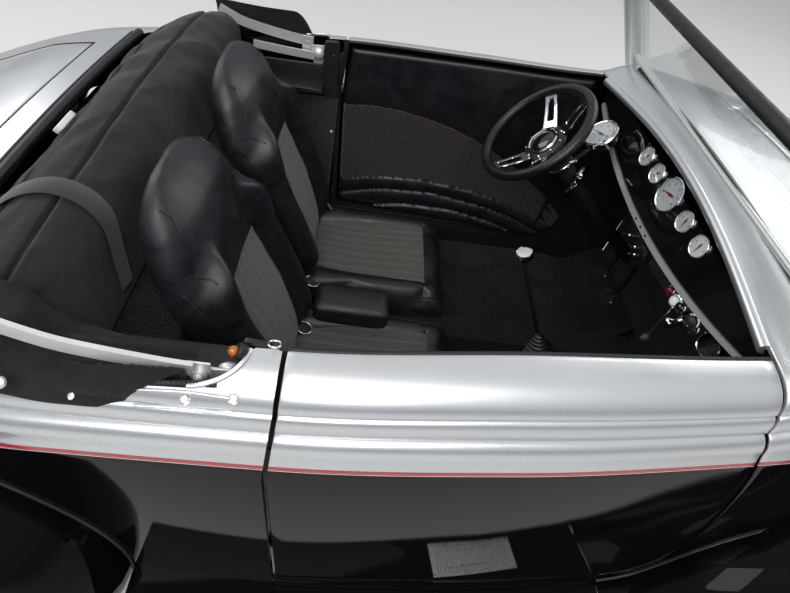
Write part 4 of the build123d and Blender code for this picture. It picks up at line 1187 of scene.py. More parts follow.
# Bright plating, as on the lamps, the bars of the grille and the small fittings.
chrome = new_finish("chrome", "bright_trim", (0.80, 0.81, 0.83), 0.05, 1.0, wear=(30.0, 0.03, 0.10))[0]
hinge = []
for k in range(60):
    x = HOOD_REAR + 0.004 + (hood_front(1.06) - 0.012 - HOOD_REAR) * k / 59
    hinge.append((x, 0.0, smooth_row(HOOD_STATIONS, x)[6] + 0.001))
tube("hood_hinge_pin", hinge, 0.0042, chrome)

# Grille shell. A painted pressing shaped like a tall shield, raked back, its opening filled with
# thin upright bars; the radiator core stands behind it.
GRILLE_RAKE = radians(12)
GRILLE_X, GRILLE_Z = 1.600, 0.740


def grille_at(u, v, w):
    """A place on the raked grille: across, up, and out of it."""
    lean, upright = sin(GRILLE_RAKE), cos(GRILLE_RAKE)
    return Vector((GRILLE_X + w * upright - v * lean, u, GRILLE_Z + v * upright + w * lean))


SHELL_OUT = (
    (0.0, 0.345), (0.060, 0.342), (0.115, 0.332), (0.150, 0.315), (0.180, 0.280), (0.198, 0.235),
    (0.205, 0.180), (0.196, 0.080), (0.178, -0.040), (0.156, -0.160), (0.130, -0.270), (0.110, -0.330),
    (0.070, -0.355), (0.0, -0.362)
)
SHELL_IN = (
    (0.0, 0.300), (0.055, 0.297), (0.098, 0.290), (0.122, 0.275), (0.142, 0.245), (0.155, 0.210),
    (0.162, 0.168), (0.154, 0.070), (0.138, -0.040), (0.120, -0.150), (0.100, -0.240), (0.082, -0.298),
    (0.050, -0.318), (0.0, -0.325)
)


def round_line(points, steps):
    """A smooth line through points, with some points between each pair."""
    out = []
    for k in range(len(points) - 1):
        before, a, b, after = (
            Vector(points[min(max(n, 0), len(points) - 1)]) for n in (k - 1, k, k + 1, k + 2)
        )
        for m in range(steps):
            t = m / steps
            out.append(
                0.5 * (
                    2 * a + (b - before) * t + (
                        2 * before - 5 * a + 4 * b - after
                    ) * t * t + (3 * a - before - 3 * b + after) * t**3
                )
            )
    out.append(Vector(points[-1]))
    return out


def shield(table, steps=4):
    """A closed outline from its right half, run smoothly through the points."""
    half = round_line([(u, v, 0) for u, v in table], steps)
    return [(p.x, p.y) for p in half] + [(-p.x, p.y) for p in reversed(half[1:-1])]


rim_out, rim_in = shield(SHELL_OUT), shield(SHELL_IN)
count = len(rim_out)
SHELL_RINGS = (
    (1.0, -0.090), (1.0, -0.030), (0.98, -0.010), (0.90, 0.003), (0.70, 0.010), (0.40, 0.011), (0.15, 0.006),
    (0.0, -0.004), (0.0, -0.030), (0.04, -0.034), (0.12, -0.030), (0.5, -0.006), (0.92, -0.016),
    (0.965, -0.090)
)
verts = []
for share, w in SHELL_RINGS:
    for (u1, v1), (u2, v2) in zip(rim_out, rim_in):
        verts.append(grille_at(u2 + (u1 - u2) * share, v2 + (v1 - v2) * share, w))
new_piece(
    "grille_shell_skin", verts, loft_faces(len(SHELL_RINGS), count, True), plain_silver, ("grille_shell",), 40
)
half_width = line_through(sorted((v, u) for u, v in SHELL_IN[1:-1]))
verts, faces = [], []
for n in range(23):
    u = 0.0135 * (n - 11)
    heights_ = [v for _, v in rim_in if half_width(v) > abs(u) + 0.001]
    low, high = min(heights_) - 0.004, max(heights_) + 0.004
    base = len(verts)
    for k in range(13):
        v = low + (high - low) * k / 12
        for du, dw in (
            (-0.0022, -0.030), (-0.0024, -0.018), (0.0, -0.013), (0.0024, -0.018), (0.0022, -0.030)
        ):
            verts.append(grille_at(u + du, v, dw))
    faces += [tuple(base + n for n in face) for face in loft_faces(13, 5)]
new_piece("grille_bar_set", verts, faces, chrome, ("grille_bars",), 30)
for number, v in enumerate((0.150, -0.120)):
    reach = half_width(v)
    tube(
        f"grille_stay_{number}", [grille_at(reach * (k / 6 - 1), v, -0.034) for k in range(13)], 0.0035,
        chrome
    )
# The radiator's core: fine fins between tubes, seen as a dark mesh behind the bars.
radiator_fin, tree, shader = new_finish("radiator_core", "", (0.03, 0.03, 0.03), 0.5, 0.6)
fins = texture(tree, "Wave", 60.0, settings={"bands_direction": "Z"})
tubes = texture(tree, "Wave", 25.0, settings={"bands_direction": "Y"})
core = math_node(tree, "MULTIPLY", fins, tubes)
tint(tree, shader, core, (0.006, 0.006, 0.006), (0.11, 0.105, 0.10))
emboss(tree, shader, 0.8, 0.003, core)


def assign(name, material):
    """Gives a carried CAD node its own finish."""
    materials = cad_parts[name].data.materials
    materials.clear()
    materials.append(material)


assign("radiator", radiator_fin)

# Head lamps. Plated bowls on short posts, each with a fluted clear lens in a rolled rim.


def at_axis(origin, axis, level=(0, -1, 0)):
    """A frame of its own at a point: across, up, and out along an axis."""
    out = Vector(axis).normalized()
    wide = (Vector(level) - out * out.dot(Vector(level))).normalized()
    lift = out.cross(wide)
    return lambda u, v, w: Vector(origin) + wide * u + lift * v + out * w


def turned(name, profile, spot_at, material, nodes=(), sides=48, smooth=35, **home):
    """A turned part from (radius, height) pairs along an axis; a radius of 0 closes the end."""
    verts = []
    for r, w in profile:
        verts += [
            spot_at(max(r, 0.0001) * cos(tau * k / sides), max(r, 0.0001) * sin(tau * k / sides), w)
            for k in range(sides)
        ]
    return new_piece(name, verts, loft_faces(len(profile), sides), material, nodes, smooth, **home)


def plate(name, outline, spot_at, low, high, material, nodes=(), chamfer=0.0008, hole=(), **home):
    """A flat part from an outline in the frame's plane, its edges chamfered; it may have a hole."""
    verts, faces, loops = [], [], []
    for line in (outline, hole):
        if not line:
            continue
        count = len(line)
        middle_u, middle_v = sum(p[0] for p in line) / count, sum(p[1] for p in line) / count
        sign = 1 if line is outline else -1
        rings = []
        for w, shrink in ((low, chamfer), (low + chamfer, 0), (high - chamfer, 0), (high, chamfer)):
            rings.append(len(verts))
            for u, v in line:
                reach = hypot(u - middle_u, v - middle_v)
                pull = 1 - sign * shrink / max(reach, 0.001)
                verts.append(spot_at(middle_u + (u - middle_u) * pull, middle_v + (v - middle_v) * pull, w))
        for a, b in zip(rings, rings[1:]):
            faces += [(a + k, a + (k + 1) % count, b + (k + 1) % count, b + k) for k in range(count)]
        loops.append((rings[0], rings[-1], count))
    if len(loops) == 1:
        low_ring, high_ring, count = loops[0]
        faces += [tuple(range(low_ring, low_ring + count)), tuple(range(high_ring, high_ring + count))]
    else:
        (a0, a1, count), (b0, b1, _) = loops
        for a, b in ((a0, b0), (a1, b1)):
            faces += [(a + k, a + (k + 1) % count, b + (k + 1) % count, b + k) for k in range(count)]
    return new_piece(name, verts, faces, material, nodes, 30, **home)


def rounded(width, height, power, count, power_v=None, start=0.0):
    """A closed outline between an ellipse and a box, its corners squarer for a smaller power."""
    line = []
    for k in range(count):
        c, s = cos(tau * (k + start) / count), sin(tau * (k + start) / count)
        u = width * abs(c) ** power * (1 if c > 0 else -1)
        line.append((u, height * abs(s) ** (power_v or power) * (1 if s > 0 else -1)))
    return line


def circle(radius, count):
    """Points round a circle."""
    return [(radius * cos(tau * k / count), radius * sin(tau * k / count)) for k in range(count)]


lamp_glass, tree, shader = new_finish(
    "lamp_glass", "bright_trim", (0.80, 0.84, 0.86), 0.08, 0.0, Specular_IOR_Level=0.6, Coat_Weight=0.6
)
flutes = texture(tree, "Wave", 38.0, settings={"bands_direction": "Y"})
bars = texture(tree, "Wave", 16.0, settings={"bands_direction": "Z"})
cut_glass = math_node(tree, "ADD", flutes, bars)
tint(tree, shader, flutes, (0.42, 0.46, 0.50), (0.86, 0.89, 0.90))
emboss(tree, shader, 0.5, 0.002, cut_glass)
for hand, side in SIDES:
    lamp_at = at_axis((1.640, side * 0.395, 0.830), (1, 0, 0), (0, 1, 0))
    bowl = [
        (0.0, -0.130), (0.018, -0.127), (0.045, -0.112), (0.068, -0.086), (0.084, -0.050), (0.092, -0.010),
        (0.0935, 0.008), (0.095, 0.012), (0.095, 0.022), (0.092, 0.030), (0.087, 0.033), (0.083, 0.030),
        (0.0, 0.030)
    ]
    turned(f"lamp_bowl_{hand}", bowl, lamp_at, chrome, ("headlamps",) if side > 0 else (), 64)
    lens = [
        (0.0, 0.045), (0.025, 0.0440), (0.050, 0.0410), (0.068, 0.0365), (0.080, 0.0320), (0.083, 0.0285),
        (0.0, 0.0285)
    ]
    turned(f"lamp_lens_{hand}", lens, lamp_at, lamp_glass, sides=64)
    post = [(1.620, side * 0.395, 0.745), (1.616, side * 0.395, 0.720), (1.612, side * 0.393, 0.690)]
    tube(f"lamp_post_{hand}", post, lambda t: 0.014 + 0.012 * t * t, chrome, sides=24)
    turned(
        f"lamp_foot_{hand}", ((0, 0.012), (0.026, 0.010), (0.034, 0.004), (0.036, -0.004), (0, -0.004)),
        at_axis((1.612, side * 0.393, 0.712), (0, 0, 1), (1, 0, 0)), chrome, sides=32
    )

# Tail. Round ruby lamps in plated rims flush with the pan, and a plain black bracket for the
# plate, left blank.
ruby_lens, tree, shader = new_finish("tail_ruby", "lamp_red", (0.28, 0.008, 0.010), 0.10, Coat_Weight=0.8)
beads = texture(tree, "Voronoi", 220.0, "Distance", Randomness=0.0)
emboss(tree, shader, 0.6, 0.002, beads)
tint(tree, shader, beads, (0.42, 0.012, 0.014), (0.16, 0.004, 0.006))
for hand, side in SIDES:
    tail_at = at_axis((-1.9535, side * 0.265, 0.640), (-1, 0, 0))
    turned(
        f"tail_lens_{hand}",
        ((0, 0.0085), (0.015, 0.0080), (0.028, 0.0062), (0.0365, 0.0030), (0.038, 0.0), (0, 0.0)), tail_at,
        ruby_lens, ("tail_lamps",) if side > 0 else ()
    )
    turned(
        f"tail_rim_{hand}",
        (
            (0.037, -0.002), (0.0375, 0.003), (0.040, 0.0050), (0.0435, 0.0035), (0.045, 0.0),
            (0.045, -0.003), (0.037, -0.003)
        ),
        tail_at, chrome
    )
plate_at = at_axis((-1.9525, 0.0, 0.600), (-1, 0, 0))
plate(
    "number_bracket", rounded(0.100, 0.075, 0.12, 64, start=0.5), plate_at, -0.002, 0.0035, gloss_black,
    ("plate_bracket",), 0.0010
)

# Underneath. Black painted rails and axles, forged steel steering arms, a plain steel tank, an
# aluminised exhaust, and the engine as one cast block between the rails.
UNDER = (
    ("frame_black", (0.011, 0.011, 0.012), 0.35, 0.0, 0.28, 0.6, ("frame", "front_axle", "rear_axle")),
    ("forged_steel", (0.20, 0.20, 0.205), 0.42, 1.0, 0.35, 0.6, ("knuckle_left", "knuckle_right", "tie_rod")),
    ("engine_iron", (0.10, 0.10, 0.105), 0.55, 0.4, 0.45, 0.75, ("engine",)),
    ("exhaust_steel", (0.42, 0.41, 0.39), 0.4, 1.0, 0.32, 0.62, ("exhaust",)),
    ("tank_steel", (0.30, 0.30, 0.31), 0.4, 0.9, 0.35, 0.6, ("fuel_tank",)),
)
for finish_name, color, rough, metal, low, high, node_names in UNDER:
    finish, tree, shader = new_finish(finish_name, "", color, rough, metal)
    wear = use_group(tree, handling, Scale=18.0, Low=low, High=high)
    tree.links.new(wear["Value"], shader.inputs["Roughness"])
    emboss(tree, shader, 0.15, 0.001, wear["Height"])
    worn = remap(tree, wear["Value"], low, high)
    dull = tuple(c * 0.55 for c in color)
    tint(tree, shader, worn, color, dull)
    for node_name in node_names:
        assign(node_name, finish)

# Cab floor. Black loop carpet laid over the floor pan and the shaft tunnel, and the closing
# panels of the footwells and of the wall behind the seats. Its colour is set darker than the
# carpet's own black, as painted shade for the dim cab and the floor behind the seats.
loop_carpet, tree, shader = new_finish(
    "loop_carpet", "carpet", (0.006, 0.006, 0.0065), 0.95, Sheen_Weight=0.08, Specular_IOR_Level=0.15
)
spot = place(tree, "TexCoord").outputs["Object"]
loops = place(tree, "TexVoronoi", {"Vector": spot, "Scale": 260.0, "Randomness": 0.7})
# Painted shade: each loop is lighter on its top and darker down into the gaps between loops.
shade = remap(tree, loops.outputs["Distance"], from_max=0.7, to_min=1.0, to_max=0.25)
tint(tree, shader, shade, (0.002, 0.002, 0.0025), (0.011, 0.011, 0.012))
emboss(tree, shader, 0.9, 0.004, shade)
assign("floor", loop_carpet)


def sheet(name, columns, rows, spot, back, material, **options):
    """A thin panel over a grid, from a rule that gives a place for its two shares."""
    outer = [[Vector(spot(i / columns, j / rows)) for j in range(rows + 1)] for i in range(columns + 1)]
    inner = [[p + Vector(back) for p in column] for column in outer]
    return shell(name, outer, inner, material, **options)


CARPET_Z = 0.2745
CARPET_PLAN = ((-0.845, 0.560), (0.300, 0.530), (0.452, 0.470))
carpet_edge = line_through(CARPET_PLAN)
for hand, side in SIDES:
    outer, inner = [], []
    for i in range(40):
        x = -0.845 + 1.297 * i / 39
        column = []
        for j in range(24):
            y = 0.049 + (carpet_edge(x) - 0.049) * j / 23
            lift = 0.004 * noise.noise(Vector((x * 9, side * y * 9, 1.7)))
            kick = 0.012 * max(0.0, 1 - j / 1.5)
            column.append(Vector((x, side * y, CARPET_Z + 0.006 + lift + kick + max(0.0, x - 0.34) * 1.25)))
        outer.append(column)
        inner.append([p - Vector((0, 0, 0.005)) for p in column])
    shell(f"carpet_{hand}", outer, inner, loop_carpet)

FIREWALL = 0.462
satin_trim, tree, shader = new_finish(
    "satin_black_trim", "seat_leather", (0.01, 0.01, 0.011), 0.45, Specular_IOR_Level=0.4
)
marks = use_group(tree, handling, Scale=30.0, Low=0.36, High=0.55)
tree.links.new(marks["Value"], shader.inputs["Roughness"])
emboss(tree, shader, 0.12, 0.0008, marks["Height"])
for hand, side in SIDES:
    def kick_spot(s, t):
        x = 0.176 + (FIREWALL - 0.176) * s
        rim = 0.012 * sin(pi * t) * (s in (0, 1))
        return (x, side * (0.519 - max(0.0, x - 0.27) * 0.33 - rim), 0.285 + 0.70 * t)

    sheet(f"kick_panel_{hand}", 19, 19, kick_spot, (0, side * 0.006, 0), satin_trim)
sheet(
    "firewall_pad", 30, 20, lambda s, t: (FIREWALL, -0.445 + 0.89 * s, 0.30 + 0.76 * t), (0.006, 0, 0),
    loop_carpet
)
REAR_WALL_X, CAB_FOOT = -0.868, 0.276
sheet(
    "rear_wall_pad", 30, 16, lambda s, t: (REAR_WALL_X - 0.02 * t, -0.575 + 1.15 * s, CAB_FOOT + 0.604 * t),
    (-0.006, 0, 0), loop_carpet
)
# Tray of the well, from the top of that wall back under the folded top.
sheet(
    "well_tray", 12, 20, lambda s, t: (-1.292 + 0.400 * s, -0.52 - 0.05 * s + (1.04 + 0.10 * s) * t, 0.884),
    (0, 0, -0.005), loop_carpet
)
TREAD_RIBS = 16
for hand, side in SIDES:
    def trim_spot(s, t):
        wall_height = 0.680 + 0.06 * max(0.0, 14 * s - 11) / 3
        return (-0.995 + 0.331 * s, side * (0.562 + 0.016 * s), CAB_FOOT + wall_height * t)

    # Ribbed tread over the sill.
    def tread_spot(s, t):
        x = -0.668 + 0.845 * s
        reach = min(0.128, smooth_row(BODY_STATIONS, x)[0] - 0.566)
        return (x, side * (0.556 + reach * t), 0.3535 - 0.0012 * (round(t * TREAD_RIBS) % 2))

    # Cant panel that closes the cab side from the floor up to the sill.
    def cant_spot(s, t):
        return (-0.86 + 1.16 * s, side * (0.522 + 0.045 * t), CAB_FOOT + 0.085 * t)

    sheet(f"quarter_trim_{hand}", 14, 14, trim_spot, (0, side * 0.006, 0), satin_trim)
    sheet(
        f"sill_tread_{hand}", 20, TREAD_RIBS, tread_spot, (0, 0, -0.003), satin_trim, slot_name="black_paint"
    )
    sheet(f"sill_carpet_{hand}", 20, 6, cant_spot, (0, side * 0.004, -0.004), loop_carpet)

# Quarter shelves, from the trim out to the skin, that the top's irons fold down on.
SHELF = ((-1.280, 0.515), (-1.060, 0.630), (-0.860, 0.645), (-0.762, 0.640), (-0.735, 0.628), (-0.722, 0.600))
shelf_edge = line_through(SHELF)
for hand, side in SIDES:
    def shelf_spot(s, t):
        x = -1.275 + 0.552 * s
        return (x, side * (0.500 + (shelf_edge(x) - 0.500) * t), 0.902)

    sheet(f"quarter_shelf_{hand}", 30, 12, shelf_spot, (0, 0, -0.005), satin_trim)

# Leather. Black hide, satin, with a fine grain, a few soft creases and red stitching where two
# pieces meet.
grain_group, grain_in, grain_out = new_group(
    "hide_grain",
    (("Grain", 420.0), ("Crease", 16.0)),
    (("Height", "NodeSocketFloat"), ("Rub", "NodeSocketFloat")),
)
pores = texture(
    grain_group, "Voronoi", grain_in["Grain"], "Distance", settings={"feature": "DISTANCE_TO_EDGE"}
)
folds = texture(grain_group, "Noise", grain_in["Crease"], Detail=6.0, Roughness=0.62, Distortion=0.5)
fine = remap(grain_group, pores, from_max=0.25, to_max=0.12)
grain_group.links.new(math_node(grain_group, "ADD", fine, folds), grain_out["Height"])
rubbed = remap(grain_group, folds, 0.35, 0.68, 0.30, 0.5)
grain_group.links.new(rubbed, grain_out["Rub"])


def hide_finish(name, color, crease=16.0, depth=0.0022):
    """Grained leather in one colour."""
    material, tree, shader = new_finish(name, "seat_leather", color, 0.4, Specular_IOR_Level=0.45)
    hide = use_group(tree, grain_group, Crease=crease)
    tree.links.new(hide["Rub"], shader.inputs["Roughness"])
    emboss(tree, shader, 0.35, depth, hide["Height"])
    faded = remap(tree, hide["Rub"], 0.3, 0.5, 0.8, 1.35)
    tint = place(tree, "CombineColor", {0: faded, 1: faded, 2: faded}).outputs[0]
    mixed = place(
        tree, "Mix", {"Factor": 1.0, "A": (*color, 1), "B": tint}, data_type="RGBA", blend_type="MULTIPLY"
    )
    tree.links.new(mixed.outputs["Result"], shader.inputs["Base Color"])
    return material


# The hide is set darker than its own black, as painted shade for the cab, and its blue cast is a painted
# reflection of the sky.
black_hide = hide_finish("black_hide", (0.0075, 0.0085, 0.0105))
red_thread, tree, shader = new_finish("red_thread", "seat_leather", (0.16, 0.012, 0.018), 0.6)
twist = texture(tree, "Wave", 180.0, Distortion=1.0)
tint(tree, shader, twist, (0.05, 0.006, 0.008), (0.20, 0.016, 0.022))

# Tweed. Woven grey-brown wool with paler ribs running lengthwise; the same cloth, darker,
# covers the pleated part of the doors.
weave, weave_in, weave_out = new_group(
    "tweed_weave",
    (("Thread", 620.0), ("Rib", 0.0)),
    (("Shade", "NodeSocketFloat"), ("Height", "NodeSocketFloat")),
)
spot = place(weave, "TexCoord").outputs["Object"]
warp = texture(
    weave, "Wave", 150.0, settings={"bands_direction": "Y"}, Distortion=3.0, Detail=2.0, Detail_Scale=3.0
)
weft = texture(
    weave, "Wave", 150.0, settings={"bands_direction": "X"}, Distortion=3.0, Detail=2.0, Detail_Scale=3.0
)
slub = texture(weave, "Noise", weave_in["Thread"], Detail=3.0, Roughness=0.7)
knit = math_node(weave, "MAXIMUM", warp, weft)
both = math_node(weave, "MULTIPLY", knit, remap(weave, slub, 0.3, 0.7, 0.15, 1.3))
width = place(weave, "SeparateXYZ", {0: spot}).outputs["Y"]
stripe = math_node(
    weave, "PINGPONG", math_node(weave, "ADD", math_node(weave, "ABSOLUTE", width), -0.240), 0.0165
)
rib = remap(weave, stripe, 0.0010, 0.0040, 1.0, 0.0)
toned = math_node(weave, "MULTIPLY", both, remap(weave, weave_in["Rib"], to_min=0.55, to_max=0.70))
ribbed = math_node(
    weave, "MULTIPLY_ADD",
    math_node(weave, "MULTIPLY", math_node(weave, "MULTIPLY", rib, weave_in["Rib"]), both), 0.32, toned
)
weave.links.new(ribbed, weave_out["Shade"])
weave.links.new(both, weave_out["Height"])


def tweed_finish(name, dark, pale, rib):
    """Tweed between a dark and a pale yarn."""
    material, tree, shader = new_finish(
        name, "seat_leather", pale, 0.92, Sheen_Weight=0.2, Specular_IOR_Level=0.15
    )
    cloth = use_group(tree, weave, Rib=rib)
    tree.links.new(
        blend_colors(
            tree, place(tree, "Clamp", {"Value": cloth["Shade"]}).outputs[0], (*dark, 1), (*pale, 1)
        ),
        shader.inputs["Base Color"]
    )
    emboss(tree, shader, 0.5, 0.0012, cloth["Height"])
    return material


seat_tweed = tweed_finish("seat_tweed", (0.010, 0.009, 0.008), (0.215, 0.200, 0.184), 1.0)
door_tweed = tweed_finish("door_tweed", (0.006, 0.006, 0.006), (0.085, 0.080, 0.078), 0.0)

# Door trims. A padded board: plain hide above, pleated tweed under a stitched arc, and sweeping
# hide rolls piped in red along the foot, with a ribbed black welt along the top edge.
ARC = ((-0.690, 0.805), (-0.635, 0.813), (-0.547, 0.829), (-0.446, 0.829), (-0.335, 0.816), (-0.257, 0.800),
       (-0.176, 0.774), (-0.089, 0.737), (0.042, 0.668), (0.178, 0.570), (0.290, 0.470))
ROLLS = (
    (
        (-0.690, 0.450), (-0.618, 0.485), (-0.491, 0.523), (-0.315, 0.548), (-0.113, 0.541), (0.017, 0.518),
        (0.109, 0.488), (0.236, 0.430)
    ),
    (
        (-0.690, 0.380), (-0.610, 0.412), (-0.462, 0.464), (-0.264, 0.491), (-0.052, 0.473), (0.083, 0.443),
        (0.208, 0.392)
    ),
    ((-0.690, 0.300), (-0.601, 0.335), (-0.370, 0.408), (-0.165, 0.424), (0.011, 0.401), (0.159, 0.350)),
)
arc_line, roll_lines = line_through(ARC), [line_through(r) for r in ROLLS]


def softened(line, x, reach=0.03):
    """A line's height with its corners rounded off."""
    return (line(x - reach) + 2 * line(x) + line(x + reach)) / 4


def finish_board(piece):
    """Gives a padded trim the thickness of its board."""
    board = piece.modifiers.new("board", "SOLIDIFY")
    board.thickness, board.offset = 0.003, 0.0
    bake_modifiers(piece)


TRIM_COLUMNS, TRIM_ROWS = 200, 128
PLEAT_PITCH, PLEAT_LEAN = 0.050, 0.95
for hand, side in SIDES:
    verts, faces, kinds = [], [], []
    low_z = 0.368
    for i in range(TRIM_COLUMNS + 1):
        for j in range(TRIM_ROWS + 1):
            t = j / TRIM_ROWS
            x = -0.5
            for _ in range(3):
                top = smooth_row(BODY_STATIONS, x)[5] - 0.026
                z = low_z + (top - low_z) * t
                x = door_rear(z) + 0.016 + (door_front(z) - door_rear(z) - 0.030) * i / TRIM_COLUMNS
            arc = softened(arc_line, x)
            rolls = [softened(line, x) for line in roll_lines]
            rim = min(i, TRIM_COLUMNS - i) / TRIM_COLUMNS * 0.84
            rim = min(rim, z - low_z, top - z)
            puff = 0.010 * min(1.0, max(0.0, rim / 0.012)) ** 0.5
            if z > arc + 0.001:
                puff += 0.004 * min(1.0, (z - arc) / 0.03)
                kind = 0
            elif z > rolls[0]:
                phase = ((x + z * PLEAT_LEAN) / PLEAT_PITCH) % 1.0
                puff += 0.010 * sin(pi * phase) ** 0.45 - 0.006
                kind = 1
            else:
                lines = [*rolls, low_z]
                k = max(n for n in range(3) if z <= lines[n])
                upper, lower = lines[k], max(low_z, lines[k + 1])
                share = min(1.0, max(0.0, (upper - z) / max(0.004, upper - lower)))
                puff += 0.012 * sin(pi * min(1.0, share + 0.02)) ** 0.6 - 0.002
                kind = 0
            for line in (arc, *rolls):
                puff -= 0.004 * max(0.0, 1 - abs(z - line) / 0.004)
            verts.append((x, side * (door_in(x) + 0.009 - puff), z))
            if i < TRIM_COLUMNS and j < TRIM_ROWS:
                a = i * (TRIM_ROWS + 1) + j
                faces.append((a, a + 1, a + TRIM_ROWS + 2, a + TRIM_ROWS + 1))
                kinds.append(kind)
    trim = new_piece(f"door_trim_{hand}", verts, faces, black_hide, smooth=60, body=f"door_{hand}")
    trim.data.materials.append(door_tweed)
    trim.data.polygons.foreach_set("material_index", kinds)
    finish_board(trim)
    for number, line in enumerate((arc_line, *roll_lines)):
        path = []
        for k in range(90):
            x = -0.655 + 0.92 * k / 89
            z = softened(line, x)
            if z > low_z + 0.006 and door_rear(z) + 0.022 < x < door_front(z) - 0.02:
                path.append((x, side * (door_in(x) - 0.001), z))
        if len(path) > 3:
            tube(f"door_piping_{hand}_{number}", path, 0.0017, red_thread, sides=6, body=f"door_{hand}")
    path = []
    for k in range(260):
        x = -0.652 + 0.822 * k / 259
        path.append(
            (x, side * (smooth_row(BODY_STATIONS, x)[4] - 0.003), smooth_row(BODY_STATIONS, x)[5] - 0.004)
        )
    tube(
        f"door_welt_{hand}", path, lambda t: 0.0052 + 0.0008 * sin(t * 650), welt_rubber, body=f"door_{hand}",
        slot_name="seat_leather"
    )

# Quarter panels behind the doors, in the same pleated tweed under a red piping and a hide roll.
QUARTER_COLUMNS, QUARTER_ROWS = 48, 66
for hand, side in SIDES:
    verts, faces = [], []
    for i in range(QUARTER_COLUMNS + 1):
        x = -0.860 + 0.190 * i / QUARTER_COLUMNS
        for j in range(QUARTER_ROWS + 1):
            z = 0.42 + 0.415 * j / QUARTER_ROWS
            rim = min(x + 0.860, -0.670 - x, z - 0.42, 0.835 - z)
            puff = 0.006 * min(1.0, max(0.0, rim) / 0.010) ** 0.5 + 0.005 * sin(
                pi * (((x + z * PLEAT_LEAN) / PLEAT_PITCH) % 1.0)
            ) ** 0.45
            verts.append((x, side * (0.568 + 0.08 * (x + 0.86) - puff), z))
            if i < QUARTER_COLUMNS and j < QUARTER_ROWS:
                a = i * (QUARTER_ROWS + 1) + j
                faces.append((a, a + 1, a + QUARTER_ROWS + 2, a + QUARTER_ROWS + 1))
    panel = new_piece(f"quarter_panel_{hand}", verts, faces, door_tweed, smooth=60)
    finish_board(panel)
    tube(
        f"quarter_piping_{hand}",
        [(-0.858 + 0.186 * k / 30, side * (0.560 + 0.015 * k / 30), 0.838) for k in range(31)], 0.0018,
        red_thread, sides=6
    )
    tube(
        f"quarter_roll_{hand}",
        [(-0.858 + 0.186 * k / 30, side * (0.565 + 0.015 * k / 30), 0.853) for k in range(31)], 0.012,
        black_hide, sides=14
    )

# Seats. Two high-backed buckets in black hide over foam, with tall side bolsters, a head rest
# in one piece with the back, and tweed in the middle of the back and of the cushion.
SEAT_Y = 0.240
BACK_FOOT, BACK_LEAN = (-0.700, 0.442), radians(20)
BACK_OUTLINE = (
    (0.0, 0.180), (0.06, 0.208), (0.20, 0.222), (0.45, 0.225), (0.51, 0.220), (0.56, 0.206),
    (0.61, 0.188), (0.66, 0.164), (0.70, 0.134), (0.72, 0.106), (0.735, 0.070), (0.742, 0.022),
)
BACK_HALF = line_through(BACK_OUTLINE)
INSERT_HALF = line_through(
    ((0.0, 0.086), (0.10, 0.100), (0.25, 0.110), (0.38, 0.110), (0.46, 0.105), (0.742, 0.016))
)
INSERT_TOP, HEAD_LOW, HEAD_FULL = 0.452, 0.505, 0.580


def back_point(u, v, w, side):
    """A place on the back: across, up along its lean, and out of its face."""
    x = BACK_FOOT[0] - v * sin(BACK_LEAN) + w * cos(BACK_LEAN)
    z = BACK_FOOT[1] + v * cos(BACK_LEAN) + w * sin(BACK_LEAN)
    return Vector((x, side * SEAT_Y + u, z))


def near_seam(value, seam):
    """How deep a seam pulls the cover down at a distance from it."""
    return max(0.0, 1 - abs(value - seam) / 0.006)


def stretch(shares, inner_edge, outer_edge):
    """Columns from the centre line out, with the insert's edge kept as one column."""
    return [s * inner_edge if s <= 1 else inner_edge + (s - 1) * (outer_edge - inner_edge) for s in shares]


SHARES = [k / 9 for k in range(9)] + [0.97, 1.0, 1.045] + [
    1.045 + 0.955 * sin(pi / 2 * k / 13) for k in range(1, 14)
]
ROW_PLACES = [0.0, 0.004, 0.010] + [
    0.01 + (INSERT_TOP - 0.016) * k / 31 for k in range(1, 32)
] + [INSERT_TOP, INSERT_TOP + 0.006]
ROW_PLACES += [INSERT_TOP + 0.006 + 0.112 * k / 10 for k in range(1, 11)] + [
    0.570 + 0.171 * sin(pi / 2 * k / 18) for k in range(1, 19)
]


def rim_of(wide, rows):
    """The places round the edge of a grid, in order."""
    rim = list(range(wide)) + [r * wide + wide - 1 for r in range(1, rows)]
    return rim + [
        (rows - 1) * wide + c for c in range(wide - 2, -1, -1)
    ] + [r * wide for r in range(rows - 2, 0, -1)]


